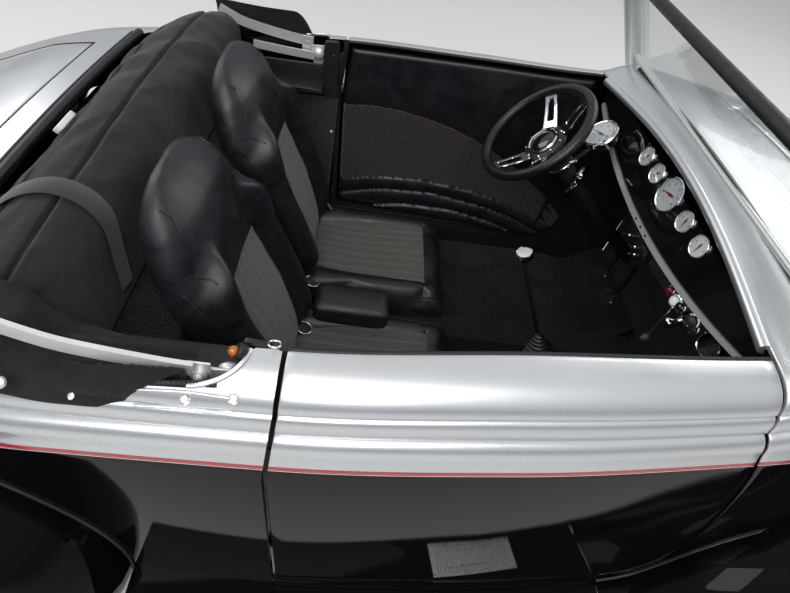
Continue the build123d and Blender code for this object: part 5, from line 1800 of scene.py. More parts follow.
def seat_back(side):
    """Points, faces and their finish for one seat back."""
    verts, faces, kinds = [], [], []
    half = len(SHARES)
    wide = 2 * half - 1
    for front in (True, False):
        for v0 in ROW_PLACES:
            outer_edge, inner_edge = BACK_HALF(v0), min(INSERT_HALF(v0), BACK_HALF(v0) * 0.72)
            arms = stretch(SHARES, inner_edge, outer_edge)
            row = [-u for u in arms[:0:-1]] + arms
            for column, u in enumerate(row):
                s = u / outer_edge
                bend = 0.030 * max(0.0, 1 - abs(v0 - 0.46) / 0.14)
                v = v0 - bend * abs(s) ** 1.5
                if v0 < 0.02:
                    v = v0 + 0.03 * s * s
                top = min(1.0, max(0.0, (0.742 - v0) / 0.085))
                foot = min(1.0, (v0 + 0.012) / 0.05)
                edge = (1 - abs(s) ** 7) ** 0.45 * top**0.5 * foot**0.5
                # The side rolls stand proud up to the shoulder; each ends in a rounded top.
                shoulder = 0.050 * max(0.0, (abs(s) - 0.62) / 0.38)
                head = min(1.0, max(0.0, (v0 + shoulder - HEAD_LOW - 0.03) / (HEAD_FULL - HEAD_LOW)))
                head = head * head * (3 - 2 * head)
                if front:
                    ridge = 0.048 * max(
                        0.0, 1 - ((abs(s) - 0.77) / 0.30) ** 2
                    ) * (1 - head) * min(1.0, v0 / 0.08)
                    lumbar = 0.012 * sin(pi * min(1.0, v0 / 0.34)) * (1 - s * s) * (1 - head)
                    pillow = 0.026 * (1 - s * s) * sin(pi * min(1.0, max(0.0, (v0 - 0.43) / 0.31)) ** 0.9)
                    w = -0.012 + 0.040 * edge + ridge * edge + lumbar + pillow
                    if v0 < INSERT_TOP + 0.006:
                        w -= 0.007 * near_seam(abs(u), inner_edge)
                    if abs(u) < inner_edge + 0.004:
                        w -= 0.007 * near_seam(v0, INSERT_TOP)
                    w -= 0.006 * max(
                        0.0, 1 - abs(v0 + shoulder - HEAD_FULL) / 0.014
                    ) * min(1.0, max(0.0, (abs(s) - 0.5) / 0.2))
                else:
                    w = -0.014 - 0.046 * edge
                verts.append(back_point(u, v, w, side))
        base = 0 if front else len(ROW_PLACES) * wide
        for r in range(len(ROW_PLACES) - 1):
            for column in range(wide - 1):
                a = base + r * wide + column
                faces.append((a, a + 1, a + wide + 1, a + wide))
                middle = half - 1
                inside = abs(column + 0.5 - middle) < 10 and ROW_PLACES[r] < INSERT_TOP - 0.001
                kinds.append(1 if front and inside else 0)
    count = len(ROW_PLACES) * wide
    rim = rim_of(wide, len(ROW_PLACES))
    for a, b in zip(rim, rim[1:] + rim[:1]):
        faces.append((a, b, count + b, count + a))
        kinds.append(0)
    return verts, faces, kinds


PAD_PRESSURE, PAD_CAP, PAD_FRAMES = 2.5, 0.008, 18


def soften_pad(piece):
    """Swells the cover over its foam with a short cloth run, then keeps the result."""
    rest = [v.co.copy() for v in piece.data.vertices]
    cloth = piece.modifiers.new("cover", "CLOTH")
    cloth.settings.quality = 5
    cloth.settings.use_pressure = True
    cloth.settings.uniform_pressure_force = PAD_PRESSURE
    cloth.settings.effector_weights.gravity = 0
    cloth.settings.tension_stiffness = 25
    cloth.settings.compression_stiffness = 8
    cloth.settings.bending_stiffness = 0.6
    cloth.settings.shrink_min = -0.015
    held = piece.vertex_groups.new(name="held")
    for index, weight in piece_pins(piece):
        held.add([index], weight, "REPLACE")
    cloth.settings.vertex_group_mass = "held"
    scene = bpy.context.scene
    for step in range(1, PAD_FRAMES + 1):
        scene.frame_set(step)
    swollen = piece.evaluated_get(bpy.context.evaluated_depsgraph_get()).data
    moved = [v.co.copy() for v in swollen.vertices]
    piece.modifiers.clear()
    piece.vertex_groups.clear()
    scene.frame_set(1)
    for vertex, start, end in zip(piece.data.vertices, rest, moved):
        shift = end - start
        if shift.length > PAD_CAP:
            shift *= PAD_CAP / shift.length
        vertex.co = start + shift


def piece_pins(piece):
    """The parts of the cover that the foam frame holds: everything within 30 mm of the lowest point."""
    low = min(v.co.z for v in piece.data.vertices)
    return [(v.index, 1.0) for v in piece.data.vertices if v.co.z < low + 0.03]


# Cushion. Thick foam with raised sides and a rolled front edge; the tweed stops short of it.
CUSHION_X, CUSHION_HALF_Y = (-0.728, -0.212), 0.224
CUSHION_LOW, CUSHION_TOP = 0.276, 0.436
PANEL_HALF = line_through(((-0.728, 0.100), (-0.55, 0.125), (-0.40, 0.132), (-0.292, 0.136), (-0.212, 0.136)))
PANEL_FRONT = -0.292
CUSHION_ROWS = [-0.728 + 0.02 * k for k in range(21)] + [
    -0.318, -0.306, -0.2975, PANEL_FRONT, -0.2865, -0.276, -0.262, -0.248, -0.235, -0.224, -0.216, -0.212
]


def cushion(side):
    """Points, faces and their finish for one cushion."""
    verts, faces, kinds = [], [], []
    half = len(SHARES)
    wide = 2 * half - 1
    x1, x2 = CUSHION_X
    for x in CUSHION_ROWS:
        t = (x - (x1 + x2) / 2) / ((x2 - x1) / 2)
        outer_edge = CUSHION_HALF_Y * (1 - 0.10 * max(0.0, (abs(t) - 0.72) / 0.28) ** 2.2)
        inner_edge = PANEL_HALF(x)
        arms = stretch(SHARES, inner_edge, outer_edge)
        for column, u in enumerate([-a for a in arms[:0:-1]] + arms):
            s = u / outer_edge
            edge = (1 - abs(s) ** 5) ** 0.4 * (1 - abs(t) ** 9) ** 0.4
            ridge = 0.026 * max(0.0, 1 - ((abs(s) - 0.80) / 0.30) ** 2) * (1 - 0.5 * max(0.0, t))
            hollow = -0.014 * (1 - s * s) * max(0.0, 1 - ((t + 0.25) / 0.8) ** 2)
            height = 0.055 * edge + ridge * edge + hollow + 0.012 * (1 - s * s)
            if x <= PANEL_FRONT + 0.004:
                height -= 0.007 * near_seam(abs(u), inner_edge)
            if abs(u) < inner_edge + 0.004:
                height -= 0.007 * near_seam(x, PANEL_FRONT)
            height -= 0.004 * near_seam(abs(s) * 0.2, 0.188)
            verts.append(Vector((x, side * SEAT_Y + u, CUSHION_TOP - 0.042 + height)))
    rows = len(CUSHION_ROWS)
    for r in range(rows - 1):
        for column in range(wide - 1):
            a = r * wide + column
            faces.append((a, a + 1, a + wide + 1, a + wide))
            inside = abs(column + 0.5 - (half - 1)) < 10 and CUSHION_ROWS[r] < PANEL_FRONT - 0.001
            kinds.append(1 if inside else 0)
    rim = rim_of(wide, rows)
    centre = Vector(((x1 + x2) / 2, side * SEAT_Y, 0))
    last = rim
    for depth, pull in ((0.020, -0.006), (0.045, -0.004), (0.075, 0.002), (0.105, 0.010), (0.118, 0.020)):
        ring = []
        for index in rim:
            p = verts[index].copy()
            out = Vector((p.x - centre.x, p.y - centre.y, 0)).normalized()
            p -= out * pull
            p.z = max(CUSHION_LOW, min(p.z, CUSHION_TOP - 0.042) - depth)
            ring.append(len(verts))
            verts.append(p)
        for k in range(len(ring)):
            faces.append((last[k], last[(k + 1) % len(ring)], ring[(k + 1) % len(ring)], ring[k]))
            kinds.append(0)
        last = ring
    faces.append(tuple(last))
    kinds.append(0)
    return verts, faces, kinds


BACK_SEAMS = (
    ((1.0, 0.575), (0.90, 0.566), (0.80, 0.548), (0.68, 0.520), (0.57, 0.485), (0.49, 0.446)),
    ((1.0, 0.705), (0.94, 0.690), (0.89, 0.665), (0.86, 0.635), (0.86, 0.605), (0.90, 0.572)),
    ((1.0, 0.545), (0.985, 0.52), (0.965, 0.45), (0.95, 0.36), (0.945, 0.20), (0.93, 0.06)),
)
CUSHION_SEAMS = (((0.93, -0.70), (0.94, -0.50), (0.94, -0.36), (0.91, -0.27), (0.84, -0.225)),)


def seam_path(marks, side, flank, is_back):
    """Points along one seam, from marks given as share across and place along."""
    path = []
    for p in round_line([(s, v, 0) for s, v in marks], 8):
        if is_back:
            path.append(
                back_point(
                    flank * p.x * BACK_HALF(p.y), p.y, 0.010 + 0.040 * min(1.0, (1.0 - p.x) / 0.06), side
                )
            )
        else:
            path.append(Vector((p.y, side * SEAT_Y + flank * p.x * CUSHION_HALF_Y, CUSHION_TOP + 0.03)))
    return path


def lay_on(piece, path):
    """The nearest places on a finished piece for a line of points near it."""
    laid = [piece.closest_point_on_mesh(p) for p in path]
    return [spot_ + normal * 0.0004 for found, spot_, normal, _ in laid if found]


for hand, side in SIDES:
    for label, (verts, faces, kinds) in (("back", seat_back(side)), ("cushion", cushion(side))):
        piece = new_piece(
            f"seat_{label}_{hand}", verts, faces, black_hide,
            ("seat_backs",) if label == "back" else ("seat_cushions",), 0
        )
        piece.data.materials.append(seat_tweed)
        piece.data.polygons.foreach_set("material_index", kinds)
        soften_pad(piece)
        smooth = piece.modifiers.new("smooth_cover", "SUBSURF")
        smooth.levels = smooth.render_levels = 1
        bake_modifiers(piece)
        piece.data.shade_smooth()
        for number, marks in enumerate(BACK_SEAMS if label == "back" else CUSHION_SEAMS):
            for flank in (1, -1):
                path = lay_on(piece, seam_path(marks, side, flank, label == "back"))
                tube(
                    f"seam_{label}_{hand}_{number}_{'outer' if flank == side else 'inner'}", path, 0.0021,
                    black_hide, sides=6
                )

# Arm rest. A padded box in the same hide between the seats, with a lid line round it.
REST = ((-0.648, -0.415), (-0.108, 0.002), (0.452, 0.534))
REST_RINGS, REST_SIDES = 26, 80
verts = []
(x1, x2), (y1, y2), (z1, z2) = REST
for r in range(REST_RINGS + 1):
    t = r / REST_RINGS
    z = z1 + (z2 - z1) * t
    shrink = 0.014 * (2 * t - 1) ** 8 + 0.010 * max(0.0, t - 0.8) / 0.2 + 0.003 * near_seam(z, 0.497)
    box = rounded((x2 - x1) / 2 - shrink, (y2 - y1) / 2 - shrink, 0.28, REST_SIDES)
    verts += [Vector(((x1 + x2) / 2 + u, (y1 + y2) / 2 + v, z)) for u, v in box]
arm_rest = new_piece(
    "arm_rest_pad", verts, loft_faces(REST_RINGS + 1, REST_SIDES), black_hide, ("armrest",), 50
)
# The hinged arm that carries the pad between the seat frames.
tube("arm_rest_arm", ((-0.66, -0.053, 0.43), (-0.60, -0.053, 0.452)), 0.016, satin_trim)

# Folded top. Black canvas rolled over its bows behind the seats: a broad front face, a high
# crest, slack folds and a flap each side that lies along the quarter, held by a webbing strap.
top_canvas, tree, shader = new_finish(
    "top_canvas", "top_cloth", (0.007, 0.007, 0.007), 0.88, Sheen_Weight=0.12, Specular_IOR_Level=0.2
)
warp = texture(tree, "Wave", 420.0, settings={"bands_direction": "Y"}, Distortion=0.4)
weft = texture(tree, "Wave", 420.0, settings={"bands_direction": "Z"}, Distortion=0.4)
thread = math_node(tree, "MULTIPLY", warp, weft)
lint = texture(tree, "Noise", 14.0, Detail=8.0, Roughness=0.7)
faded = remap(tree, lint, 0.35, 0.7)
tint(tree, shader, faded, (0.0066, 0.0064, 0.0062), (0.0180, 0.0170, 0.0163))
crush = texture(tree, "Noise", 26.0, Detail=6.0, Roughness=0.6, Distortion=0.7)
first = place(tree, "Bump", {"Strength": 0.4, "Distance": 0.006, "Height": crush}).outputs["Normal"]
emboss(tree, shader, 0.3, 0.0006, thread, Normal=first)

# Outline of the bundle seen from the side, from the foot of the front face over the crest.
BUNDLE = (
    (-1.004, 0.893), (-1.008, 0.930), (-1.016, 0.985), (-1.022, 1.035), (-1.032, 1.075), (-1.056, 1.106),
    (-1.090, 1.124), (-1.128, 1.128), (-1.164, 1.118), (-1.196, 1.100), (-1.220, 1.080), (-1.240, 1.060),
    (-1.258, 1.040), (-1.276, 1.012),
    (-1.286, 0.985), (-1.284, 0.945), (-1.272, 0.905), (-1.240, 0.893),
)
bundle_line = round_line([(x, z, 0) for x, z in BUNDLE], 8)
bundle_half = line_through(((-1.295, 0.506), (-1.060, 0.626), (-0.990, 0.630)))
BUNDLE_COLUMNS = 190
verts = []
count = len(bundle_line)
middle = Vector((-1.14, 1.00, 0))
for i in range(BUNDLE_COLUMNS + 1):
    t = 2 * i / BUNDLE_COLUMNS - 1
    droop = 0.05 * abs(t) ** 3
    for k, p in enumerate(bundle_line):
        y = t * bundle_half(p.x) * 0.994
        share = k / (count - 1)
        fold = noise.noise(Vector((y * 3.1, share * 5.0, 0.4))) * 0.012
        fold += abs(noise.noise(Vector((y * 7.0 + share * 3.5, share * 3.0, 5.2)))) * -0.012
        fold += noise.noise(Vector((y * 16, share * 14, 2.0))) * 0.004
        # Two long folds across the crest where the cloth doubles over the bows.
        for place_, depth, width in ((0.38, 0.016, 0.016), (0.56, 0.020, 0.018), (0.70, 0.016, 0.016)):
            wander = place_ + 0.02 * noise.noise(Vector((y * 2.2, place_ * 9, 8.0)))
            fold -= depth * max(0.0, 1 - abs(share - wander) / width) ** 1.5
        ease = min(1.0, share / 0.06, (1 - share) / 0.06)
        out = (p - middle).normalized()
        q = p + out * (fold - 0.006) * ease
        verts.append(Vector((q.x, y, max(0.891, q.y - droop * max(0.0, q.y - 0.95) / 0.17))))
bundle = new_piece("top_bundle", verts, loft_faces(BUNDLE_COLUMNS + 1, count), top_canvas, ("soft_top",), 0)

# Side flaps: the quarter pieces of the top. The near one lies over the end of the bundle and
# along the quarter, under the irons; the far one stands up outside them.
flap_high = line_through(
    (
        (-1.29, 0.99), (-1.25, 1.005), (-1.16, 1.078), (-1.10, 1.104), (-1.065, 1.092), (-1.035, 1.042),
        (-1.0, 1.018), (-0.93, 0.995), (-0.80, 0.975)
    )
)
flap_mid = line_through(
    (
        (-1.30, 0.985), (-1.16, 1.040), (-1.085, 1.046), (-1.0, 1.018), (-0.93, 1.002), (-0.85, 0.986),
        (-0.80, 0.975)
    )
)
flap_drop = line_through(
    ((-1.30, 0.055), (-1.10, 0.072), (-1.0, 0.046), (-0.93, 0.028), (-0.85, -0.004), (-0.80, -0.002))
)
flap_out = line_through(
    (
        (-1.30, 0.600), (-1.20, 0.650), (-1.10, 0.676), (-0.935, 0.678), (-0.89, 0.668), (-0.85, 0.652),
        (-0.80, 0.630)
    )
)


def skin_height(x, y):
    """Height of the body skin at a place in plan."""
    row = body_profile(BODY_STATIONS, x, None, True)
    for (y1, z1, _), (y2, z2, _) in zip(row[SIDE_STEPS:], row[SIDE_STEPS + 1:]):
        if y2 <= y <= y1 and y1 > y2:
            return z1 + (z2 - z1) * (y1 - y) / (y1 - y2)
    return row[-1][1]


near, far = [], []
for i in range(91):
    x = -1.285 + 0.475 * i / 90
    column, standing = [], []
    for j in range(33):
        t = j / 32
        y = 0.560 + (flap_out(x) - 0.560) * t
        z = flap_high(x) + (flap_mid(x) - flap_high(x)) * min(1.0, t * 2)
        z -= flap_drop(x) * max(0.0, 2 * t - 1) ** 1.6
        z += 0.010 * noise.noise(Vector((x * 9, t * 3.0, 4.4))) + 0.004 * noise.noise(
            Vector((x * 22, t * 8.0, 1.0))
        )
        if y > 0.630:
            z = max(z, skin_height(x, min(y, 0.690)) + 0.005)
        column.append(Vector((x, -y, z)))
        x_far = -1.10 + 0.325 * i / 90
        top_edge = 1.100 - 0.006 * (i / 90) - 0.075 * max(0.0, i / 90 - 0.78) ** 2 / 0.0484
        z_far = 0.975 + (top_edge - 0.975) * t
        y_far = 0.646 + 0.014 * sin(pi * t) + 0.010 * noise.noise(Vector((x_far * 9, t * 3, 7.7))) - 0.012 * t
        standing.append(Vector((x_far, y_far, z_far)))
    near.append(column)
    far.append(standing)
for hand, grid, push, length in (
    ("right", near, Vector((0, 0, -0.003)), 0.475), ("left", far, Vector((0, -0.003, 0)), 0.325)
):
    inner = [[p + push for p in column] for column in grid]
    flap = shell(f"top_flap_{hand}", grid, inner, top_canvas, edge=0.0009, smooth=0)

# Webbing strap round the bundle on the near side.
webbing, tree, shader = new_finish(
    "webbing", "seat_leather", (0.010, 0.010, 0.011), 0.7, Sheen_Weight=0.3, Specular_IOR_Level=0.3
)
ribs = texture(tree, "Wave", 300.0, settings={"bands_direction": "DIAGONAL"})
emboss(tree, shader, 0.6, 0.001, ribs)


def band(name, path, width, thick, material, nodes=(), spread=(0, 1, 0), **home):
    """A flat strap or strip that follows a path, its width along one direction."""
    spread = Vector(spread)
    verts = []
    for k, p in enumerate(path):
        p = Vector(p)
        run = (Vector(path[min(k + 1, len(path) - 1)]) - Vector(path[max(k - 1, 0)])).normalized()
        up = run.cross(spread).normalized()
        wide = up.cross(run).normalized() * width / 2
        for across_, high in ((-1, 0), (-0.9, 1), (0.9, 1), (1, 0), (0.9, -1), (-0.9, -1)):
            verts.append(p + wide * across_ + up * (high * thick / 2))
    return new_piece(name, verts, loft_faces(len(path), 6), material, nodes, 40, **home)


strap_path = []
for k, p in enumerate(bundle_line[6:-24]):
    out = (p - middle).normalized()
    q = p + out * 0.001
    strap_path.append((q.x, -0.40 + 0.05 * sin(k * 0.03), q.y - 0.05 * 0.27 * max(0.0, q.y - 0.95) / 0.17))
band("top_strap", strap_path, 0.046, 0.0022, webbing, slot_name="top_cloth")

# Irons of the top. Flat steel bars, zinc plated, that swing on pivots at the front of the well;
# the upper ends disappear into the folded canvas.
zinc_steel = new_finish(
    "zinc_steel", "windshield_metal", (0.64, 0.65, 0.64), 0.42, 0.55, wear=(22.0, 0.34, 0.55)
)[0]
for hand, side in SIDES:
    spots = (
        (-0.800, 1.012), (-0.850, 1.016), (-0.93, 1.027), (-1.00, 1.040), (-1.045, 1.056), (-1.085, 1.074)
    )
    line = round_line([(x, z, 0) for x, z in spots], 6)
    band(
        f"iron_upper_{hand}", [(p.x, side * 0.6225, p.y + (0.006 if side < 0 else 0.0)) for p in line], 0.009,
        0.030, zinc_steel, ("top_irons",) if side > 0 else ()
    )
    lower = round_line([(-0.764, 0.972, 0), (-0.85, 0.975, 0), (-0.97, 0.982, 0)], 6)
    band(f"iron_lower_{hand}", [(p.x, side * 0.600, p.y) for p in lower], 0.008, 0.026, zinc_steel)
    lug = at_axis((-0.792, side * 0.6225, 0.985), (0, side, 0), (1, 0, 0))
    outline = [(0.018 * cos(a), side * (0.016 + 0.018 * sin(a))) for a in (pi * k / 12 for k in range(13))]
    outline += [(-0.018, side * -0.045), (0.018, side * -0.045)]
    plate(f"iron_lug_{hand}", outline, lug, -0.0075, -0.0045, zinc_steel)
    turned(
        f"iron_pivot_{hand}",
        (
            (0, 0.012), (0.005, 0.012), (0.008, 0.009), (0.0085, 0.004), (0.013, 0.004), (0.013, -0.009),
            (0, -0.009)
        ),
        at_axis((-0.792, side * 0.6225, 1.001), (0, side, 0), (1, 0, 0)), zinc_steel, sides=24
    )
    # Round headed stop at the foot of the irons, beside the pillar.
    turned(
        f"iron_stop_{hand}",
        (
            (0, 0.020), (0.010, 0.019), (0.017, 0.014), (0.0185, 0.008), (0.016, 0.002), (0.011, 0.0),
            (0.011, -0.03), (0, -0.03)
        ),
        at_axis((-0.751, side * 0.606, 0.983), (0, -side, 0.25), (1, 0, 0)), zinc_steel, sides=32
    )
    # Gusset that carries the stop, a tapered plate bolted to the pillar.
    gusset = [
        (-0.026, side * 0.022), (0.020, side * 0.026), (0.020, side * -0.010), (0.006, side * -0.088),
        (-0.026, side * -0.020)
    ]
    plate(
        f"iron_gusset_{hand}", gusset, at_axis((-0.751, side * 0.610, 0.983), (0, -side, 0), (1, 0, 0)),
        -0.002, 0.001, zinc_steel
    )

# Quarter tops. The pillar ends in a smooth raised hump; behind it the quarter steps down to a
# flange with two pressed lines and a row of bright snap studs for the top's curtain.
plug_white = new_finish("plug_white", "bright_trim", (0.55, 0.55, 0.54), 0.4, wear=(40.0, 0.3, 0.5))[0]
for hand, side in SIDES:
    for number, (x, y) in enumerate(((-0.726, 0.6635), (-0.800, 0.667), (-0.977, 0.666))):
        stud = at_axis((x, side * y, skin_height(x, y)), (0, side * 0.5, 1), (1, 0, 0))
        turned(
            f"snap_stud_{hand}_{number}",
            (
                (0, 0.0085), (0.0045, 0.008), (0.006, 0.0062), (0.005, 0.003), (0.0085, 0.002),
                (0.0088, -0.001), (0, -0.001)
            ),
            stud, chrome, sides=24
        )
    # Pressed line of the flange, and the rounded shoulder that runs up to the pillar's hump.
    for number, y in enumerate((0.6595, 0.6735)):
        lines_ = []
        for k in range(40):
            x = -0.880 + 0.150 * k / 39
            spread_ = y + 0.004 * max(0.0, (x + 0.80) / 0.07)
            lines_.append((x, side * spread_, skin_height(x, spread_) + 0.0005))
        tube(f"flange_line_{hand}_{number}", lines_, 0.0030, plain_silver, flat=0.8)
    shoulder = []
    for k in range(30):
        t = k / 29
        x = -0.800 + 0.084 * sin(pi / 2 * t) ** 1.2
        y = 0.652 - 0.060 * (1 - cos(pi / 2 * t)) ** 1.1
        shoulder.append((x, side * y, skin_height(x, y) - 0.001))
    tube(f"pillar_shoulder_{hand}", shoulder, 0.0052, plain_silver, sides=16)
    # Rubber seal and black moulded cover on the pillar, the cover held by one screw.
    seal_points = [
        (quarter_edge(0.37 + 0.68 * k / 20) + 0.003, side * 0.588, 0.37 + 0.68 * k / 20) for k in range(21)
    ]
    band(f"jamb_seal_{hand}", seal_points, 0.017, 0.006, welt_rubber, spread=(1, 0, 0))
    cover_at = at_axis((-0.703, side * 0.574, 0.945), (0.10, -side, 0.06), (1, 0, 0.06))
    plate(
        f"pillar_cover_{hand}", rounded(0.026, 0.100, 0.25, 48, 0.2), cover_at, -0.004, 0.010, satin_trim,
        chamfer=0.003
    )
    turned(
        f"cover_screw_{hand}", ((0, 0.0125), (0.003, 0.012), (0.0042, 0.0100), (0, 0.0095)),
        (lambda f: lambda u, v, w: f(u + 0.006, v + 0.050, w))(cover_at), chrome, sides=20
    )
    # White plastic plug in the screw hole of the quarter trim.
    turned(
        f"trim_plug_{hand}", ((0, 0.006), (0.004, 0.0055), (0.0056, 0.003), (0.0058, 0.0), (0, 0.0)),
        at_axis((-0.682, side * 0.573, 0.701), (0, -side, 0), (1, 0, 0)), plug_white, sides=24
    )
    # Striker: a bright pin in the jamb that the door's catch closes on.
    turned(
        f"striker_{hand}",
        ((0, 0.010), (0.0065, 0.009), (0.008, 0.006), (0.005, 0.003), (0.005, -0.004), (0, -0.004)),
        at_axis((quarter_edge(0.80) - 0.001, side * 0.640, 0.800), (1, 0, 0), (0, 1, 0)), chrome, sides=24
    )


# Roll behind the well. A padded black roll and a rubber lip close the gap before the deck.
line = []
for k in range(81):
    a = 2 * k / 80 - 1
    y = 0.500 * a
    line.append((-1.303 - 0.004 * (1 - a * a), y, crown_height(-1.305, y) + 0.006))
tube("deck_roll", line, 0.0135, black_hide, sides=20)
tube("deck_lip", [(x - 0.022, y, z - 0.003) for x, y, z in line], 0.0055, welt_rubber)

# White block, a small pale pad strapped to the rear slope of the bundle.
block_white = new_finish("white_block", "top_cloth", (0.62, 0.63, 0.64), 0.45, wear=(30.0, 0.3, 0.6))[0]
plate(
    "top_block", rounded(0.034, 0.014, 0.5, 24),
    at_axis((-1.226, -0.105, 1.072), (-0.75, 0, 0.66), (0, 1, 0)), -0.004, 0.010, block_white, chamfer=0.002
)

# Fittings on the near pillar: an amber side lamp in its grey holder behind the hump, and the
# black ring that the curtain's cord hooks into.
amber_lens = new_finish(
    "amber_lens", "lamp_red", (0.42, 0.10, 0.006), 0.12, Coat_Weight=0.6, wear=(60.0, 0.08, 0.2)
)[0]
lamp_spot = at_axis((-0.7335, -0.597, 1.043), (-0.75, -0.1, 0.55))
plate(
    "amber_holder", rounded(0.014, 0.017, 1.0, 24), lamp_spot, -0.010, 0.006, satin_trim, chamfer=0.003,
    slot_name="column_black"
)
turned(
    "amber_side_lamp", ((0, 0.016), (0.005, 0.015), (0.008, 0.011), (0.0092, 0.006), (0.0092, 0.0), (0, 0.0)),
    lambda u, v, w: lamp_spot(u, v - 0.004, w), amber_lens, sides=28
)
ring_spot = at_axis((-0.678, -0.588, 1.0625), (0, 0.5, 1))
tube("curtain_ring", [ring_spot(u, v, 0.0) for u, v in circle(0.0105, 32)], 0.0019, chrome, closed=True)

# Lap belts. Black webbing from behind the seats, each with a plated tongue in a black buckle.
for hand, side in SIDES:
    inboard = side * (0.048 if side > 0 else 0.135)
    buckle_at = at_axis((-0.672, inboard, 0.456), (0.25, 0, 1), (1, 0, 0))
    plate(
        f"belt_buckle_{hand}", rounded(0.026, 0.019, 0.3, 32), buckle_at, -0.008, 0.010, satin_trim,
        chamfer=0.003
    )
    frame_line = [buckle_at(u + 0.004, v, 0.009) for u, v in rounded(0.024, 0.021, 1.0, 24)]
    tube(f"buckle_frame_{hand}", frame_line, 0.0016, chrome, closed=True, sides=8)
    band(
        f"buckle_strap_{hand}", [(-0.690 - 0.020 * k, inboard, 0.450 - 0.010 * k) for k in range(5)], 0.040,
        0.0025, webbing
    )
    path = round_line(
        [
            (-0.640, side * 0.395, 0.476), (-0.685, side * 0.430, 0.500), (-0.760, side * 0.478, 0.560),
            (-0.845, side * 0.520, 0.640)
        ],
        6
    )
    band(f"lap_belt_{hand}", path, 0.046, 0.0022, webbing, spread=(0.3, 0.5, -0.6))

# Large snap on the near flap, pressed through the canvas where it would button to the body.
turned(
    "flap_snap",
    ((0, 0.0030), (0.006, 0.0027), (0.0085, 0.0016), (0.0092, 0.0), (0.0092, -0.004), (0, -0.004)),
    at_axis((-1.066, -0.680, 1.016), (0, -0.75, 0.66), (1, 0, 0)), zinc_steel, sides=32,
    slot_name="bright_trim"
)

# Ribbed rubber welt along the well's edge in front of the flap, and a short plated peg by it.
welt_line = [
    (
        -0.905 + 0.150 * k / 80, -0.6495 + 0.0012 * (k / 80) ** 3,
        skin_height(-0.905 + 0.150 * k / 80, 0.655) + 0.002
    )
    for k in range(81)
]
tube("well_welt", welt_line, lambda t: 0.0052 + 0.0007 * sin(t * 190), welt_rubber, sides=12)
turned(
    "well_peg", ((0, 0.030), (0.004, 0.029), (0.0048, 0.026), (0.0048, 0.0), (0, 0.0)),
    at_axis((-0.7335, -0.622, 0.975), (0.1, -0.15, 1)), zinc_steel, sides=20, slot_name="bright_trim"
)

# Dash. A flat black lacquered panel in the cowl's mouth, with a brushed strip along its curved
# foot and a smaller panel of controls below it.
dash_black = new_finish(
    "dash_gloss", "gauge_metal", (0.004, 0.004, 0.0045), 0.07, Coat_Weight=0.6, Coat_Roughness=0.02,
    wear=(12.0, 0.05, 0.12)
)[0]
assign("dash", dash_black)
brushed_metal, tree, shader = new_finish("brushed_strip", "", (0.80, 0.81, 0.83), 0.42, 0.75)
spot = place(tree, "TexCoord").outputs["Object"]
drawn = place(tree, "Mapping", {"Vector": spot, "Scale": (900.0, 18.0, 900.0)}).outputs["Vector"]
lines = place(tree, "TexNoise", {"Vector": drawn, "Scale": 1.0, "Detail": 3.0}).outputs["Fac"]
tree.links.new(remap(tree, lines, to_min=0.24, to_max=0.46), shader.inputs["Roughness"])
emboss(tree, shader, 0.15, 0.0004, lines)
assign("dash_trim", brushed_metal)
DASH_TILT = radians(12)
on_dash = at_axis((0.204, 0, 1.061), (-cos(DASH_TILT), 0, sin(DASH_TILT)))
# Three small marks pressed into the strip.
for number, u in enumerate((0.004, 0.038, 0.072)):
    mark_rise = -0.109 + 0.068 * (u / 0.48) ** 2
    plate(
        f"strip_mark_{number}", [(u + p, mark_rise + q) for p, q in rounded(0.0045, 0.0030, 1.0, 16)], on_dash,
        0.0055, 0.0066, dash_black, chamfer=0.0003, slot_name="brushed_trim"
    )
# The dash turns up and forward at the top to meet the rolled lip of the cowl.
outer = []
for k in range(61):
    y = 0.492 * (2 * k / 60 - 1)
    foot, lip_x = on_dash(-y, 0.051 - 0.03 * (y / 0.492) ** 2, 0.001), dash_mouth(y) + 0.006
    lip = Vector((lip_x, y, crown_height(lip_x, y) - 0.014))
    outer.append([foot.lerp(lip, j / 8) - Vector((0.006 * sin(pi * j / 8), 0, 0)) for j in range(9)])
inner = [[p + Vector((0.004, 0, 0)) for p in column] for column in outer]
brow_black = new_finish(
    "brow_black", "dash_gloss", (0.004, 0.004, 0.004), 0.85, Specular_IOR_Level=0.08, wear=(30.0, 0.75, 0.95)
)[0]
shell("dash_brow", outer, inner, brow_black)

# Gauges. White printed dials with red pointers under thin glass, in plated bezels; one large
# dial in the middle of four small ones.
dial_white, tree, shader = new_finish("dial_white", "gauge_metal", (0.66, 0.68, 0.70), 0.4)
print_noise = texture(tree, "Noise", 50.0, Detail=3.0)
tint(tree, shader, print_noise, (0.78, 0.80, 0.83), (0.88, 0.90, 0.91))
pointer_red = new_finish("pointer_red", "gauge_metal", (0.55, 0.01, 0.015), 0.4, wear=(60.0, 0.3, 0.5))[0]
clear_glass = bpy.data.materials.new("clear_glass")
clear_glass.use_nodes = True
tree = clear_glass.node_tree
tree.nodes.remove(tree.nodes["Principled BSDF"])
through = place(tree, "BsdfTransparent", {"Color": (0.97, 0.985, 0.98, 1)}).outputs[0]
streak = use_group(tree, handling, Scale=5.0, Low=0.0, High=0.008)
mirror = place(tree, "BsdfGlossy", {"Roughness": streak["Value"]}).outputs[0]
graze = math_node(tree, "MULTIPLY", place(tree, "Fresnel", {"IOR": 1.35}).outputs[0], 0.5)
mixed = place(tree, "MixShader", {0: graze, 1: through, 2: mirror}).outputs[0]
tree.links.new(mixed, tree.nodes["Material Output"].inputs["Surface"])


SWEEP = (225, -45)


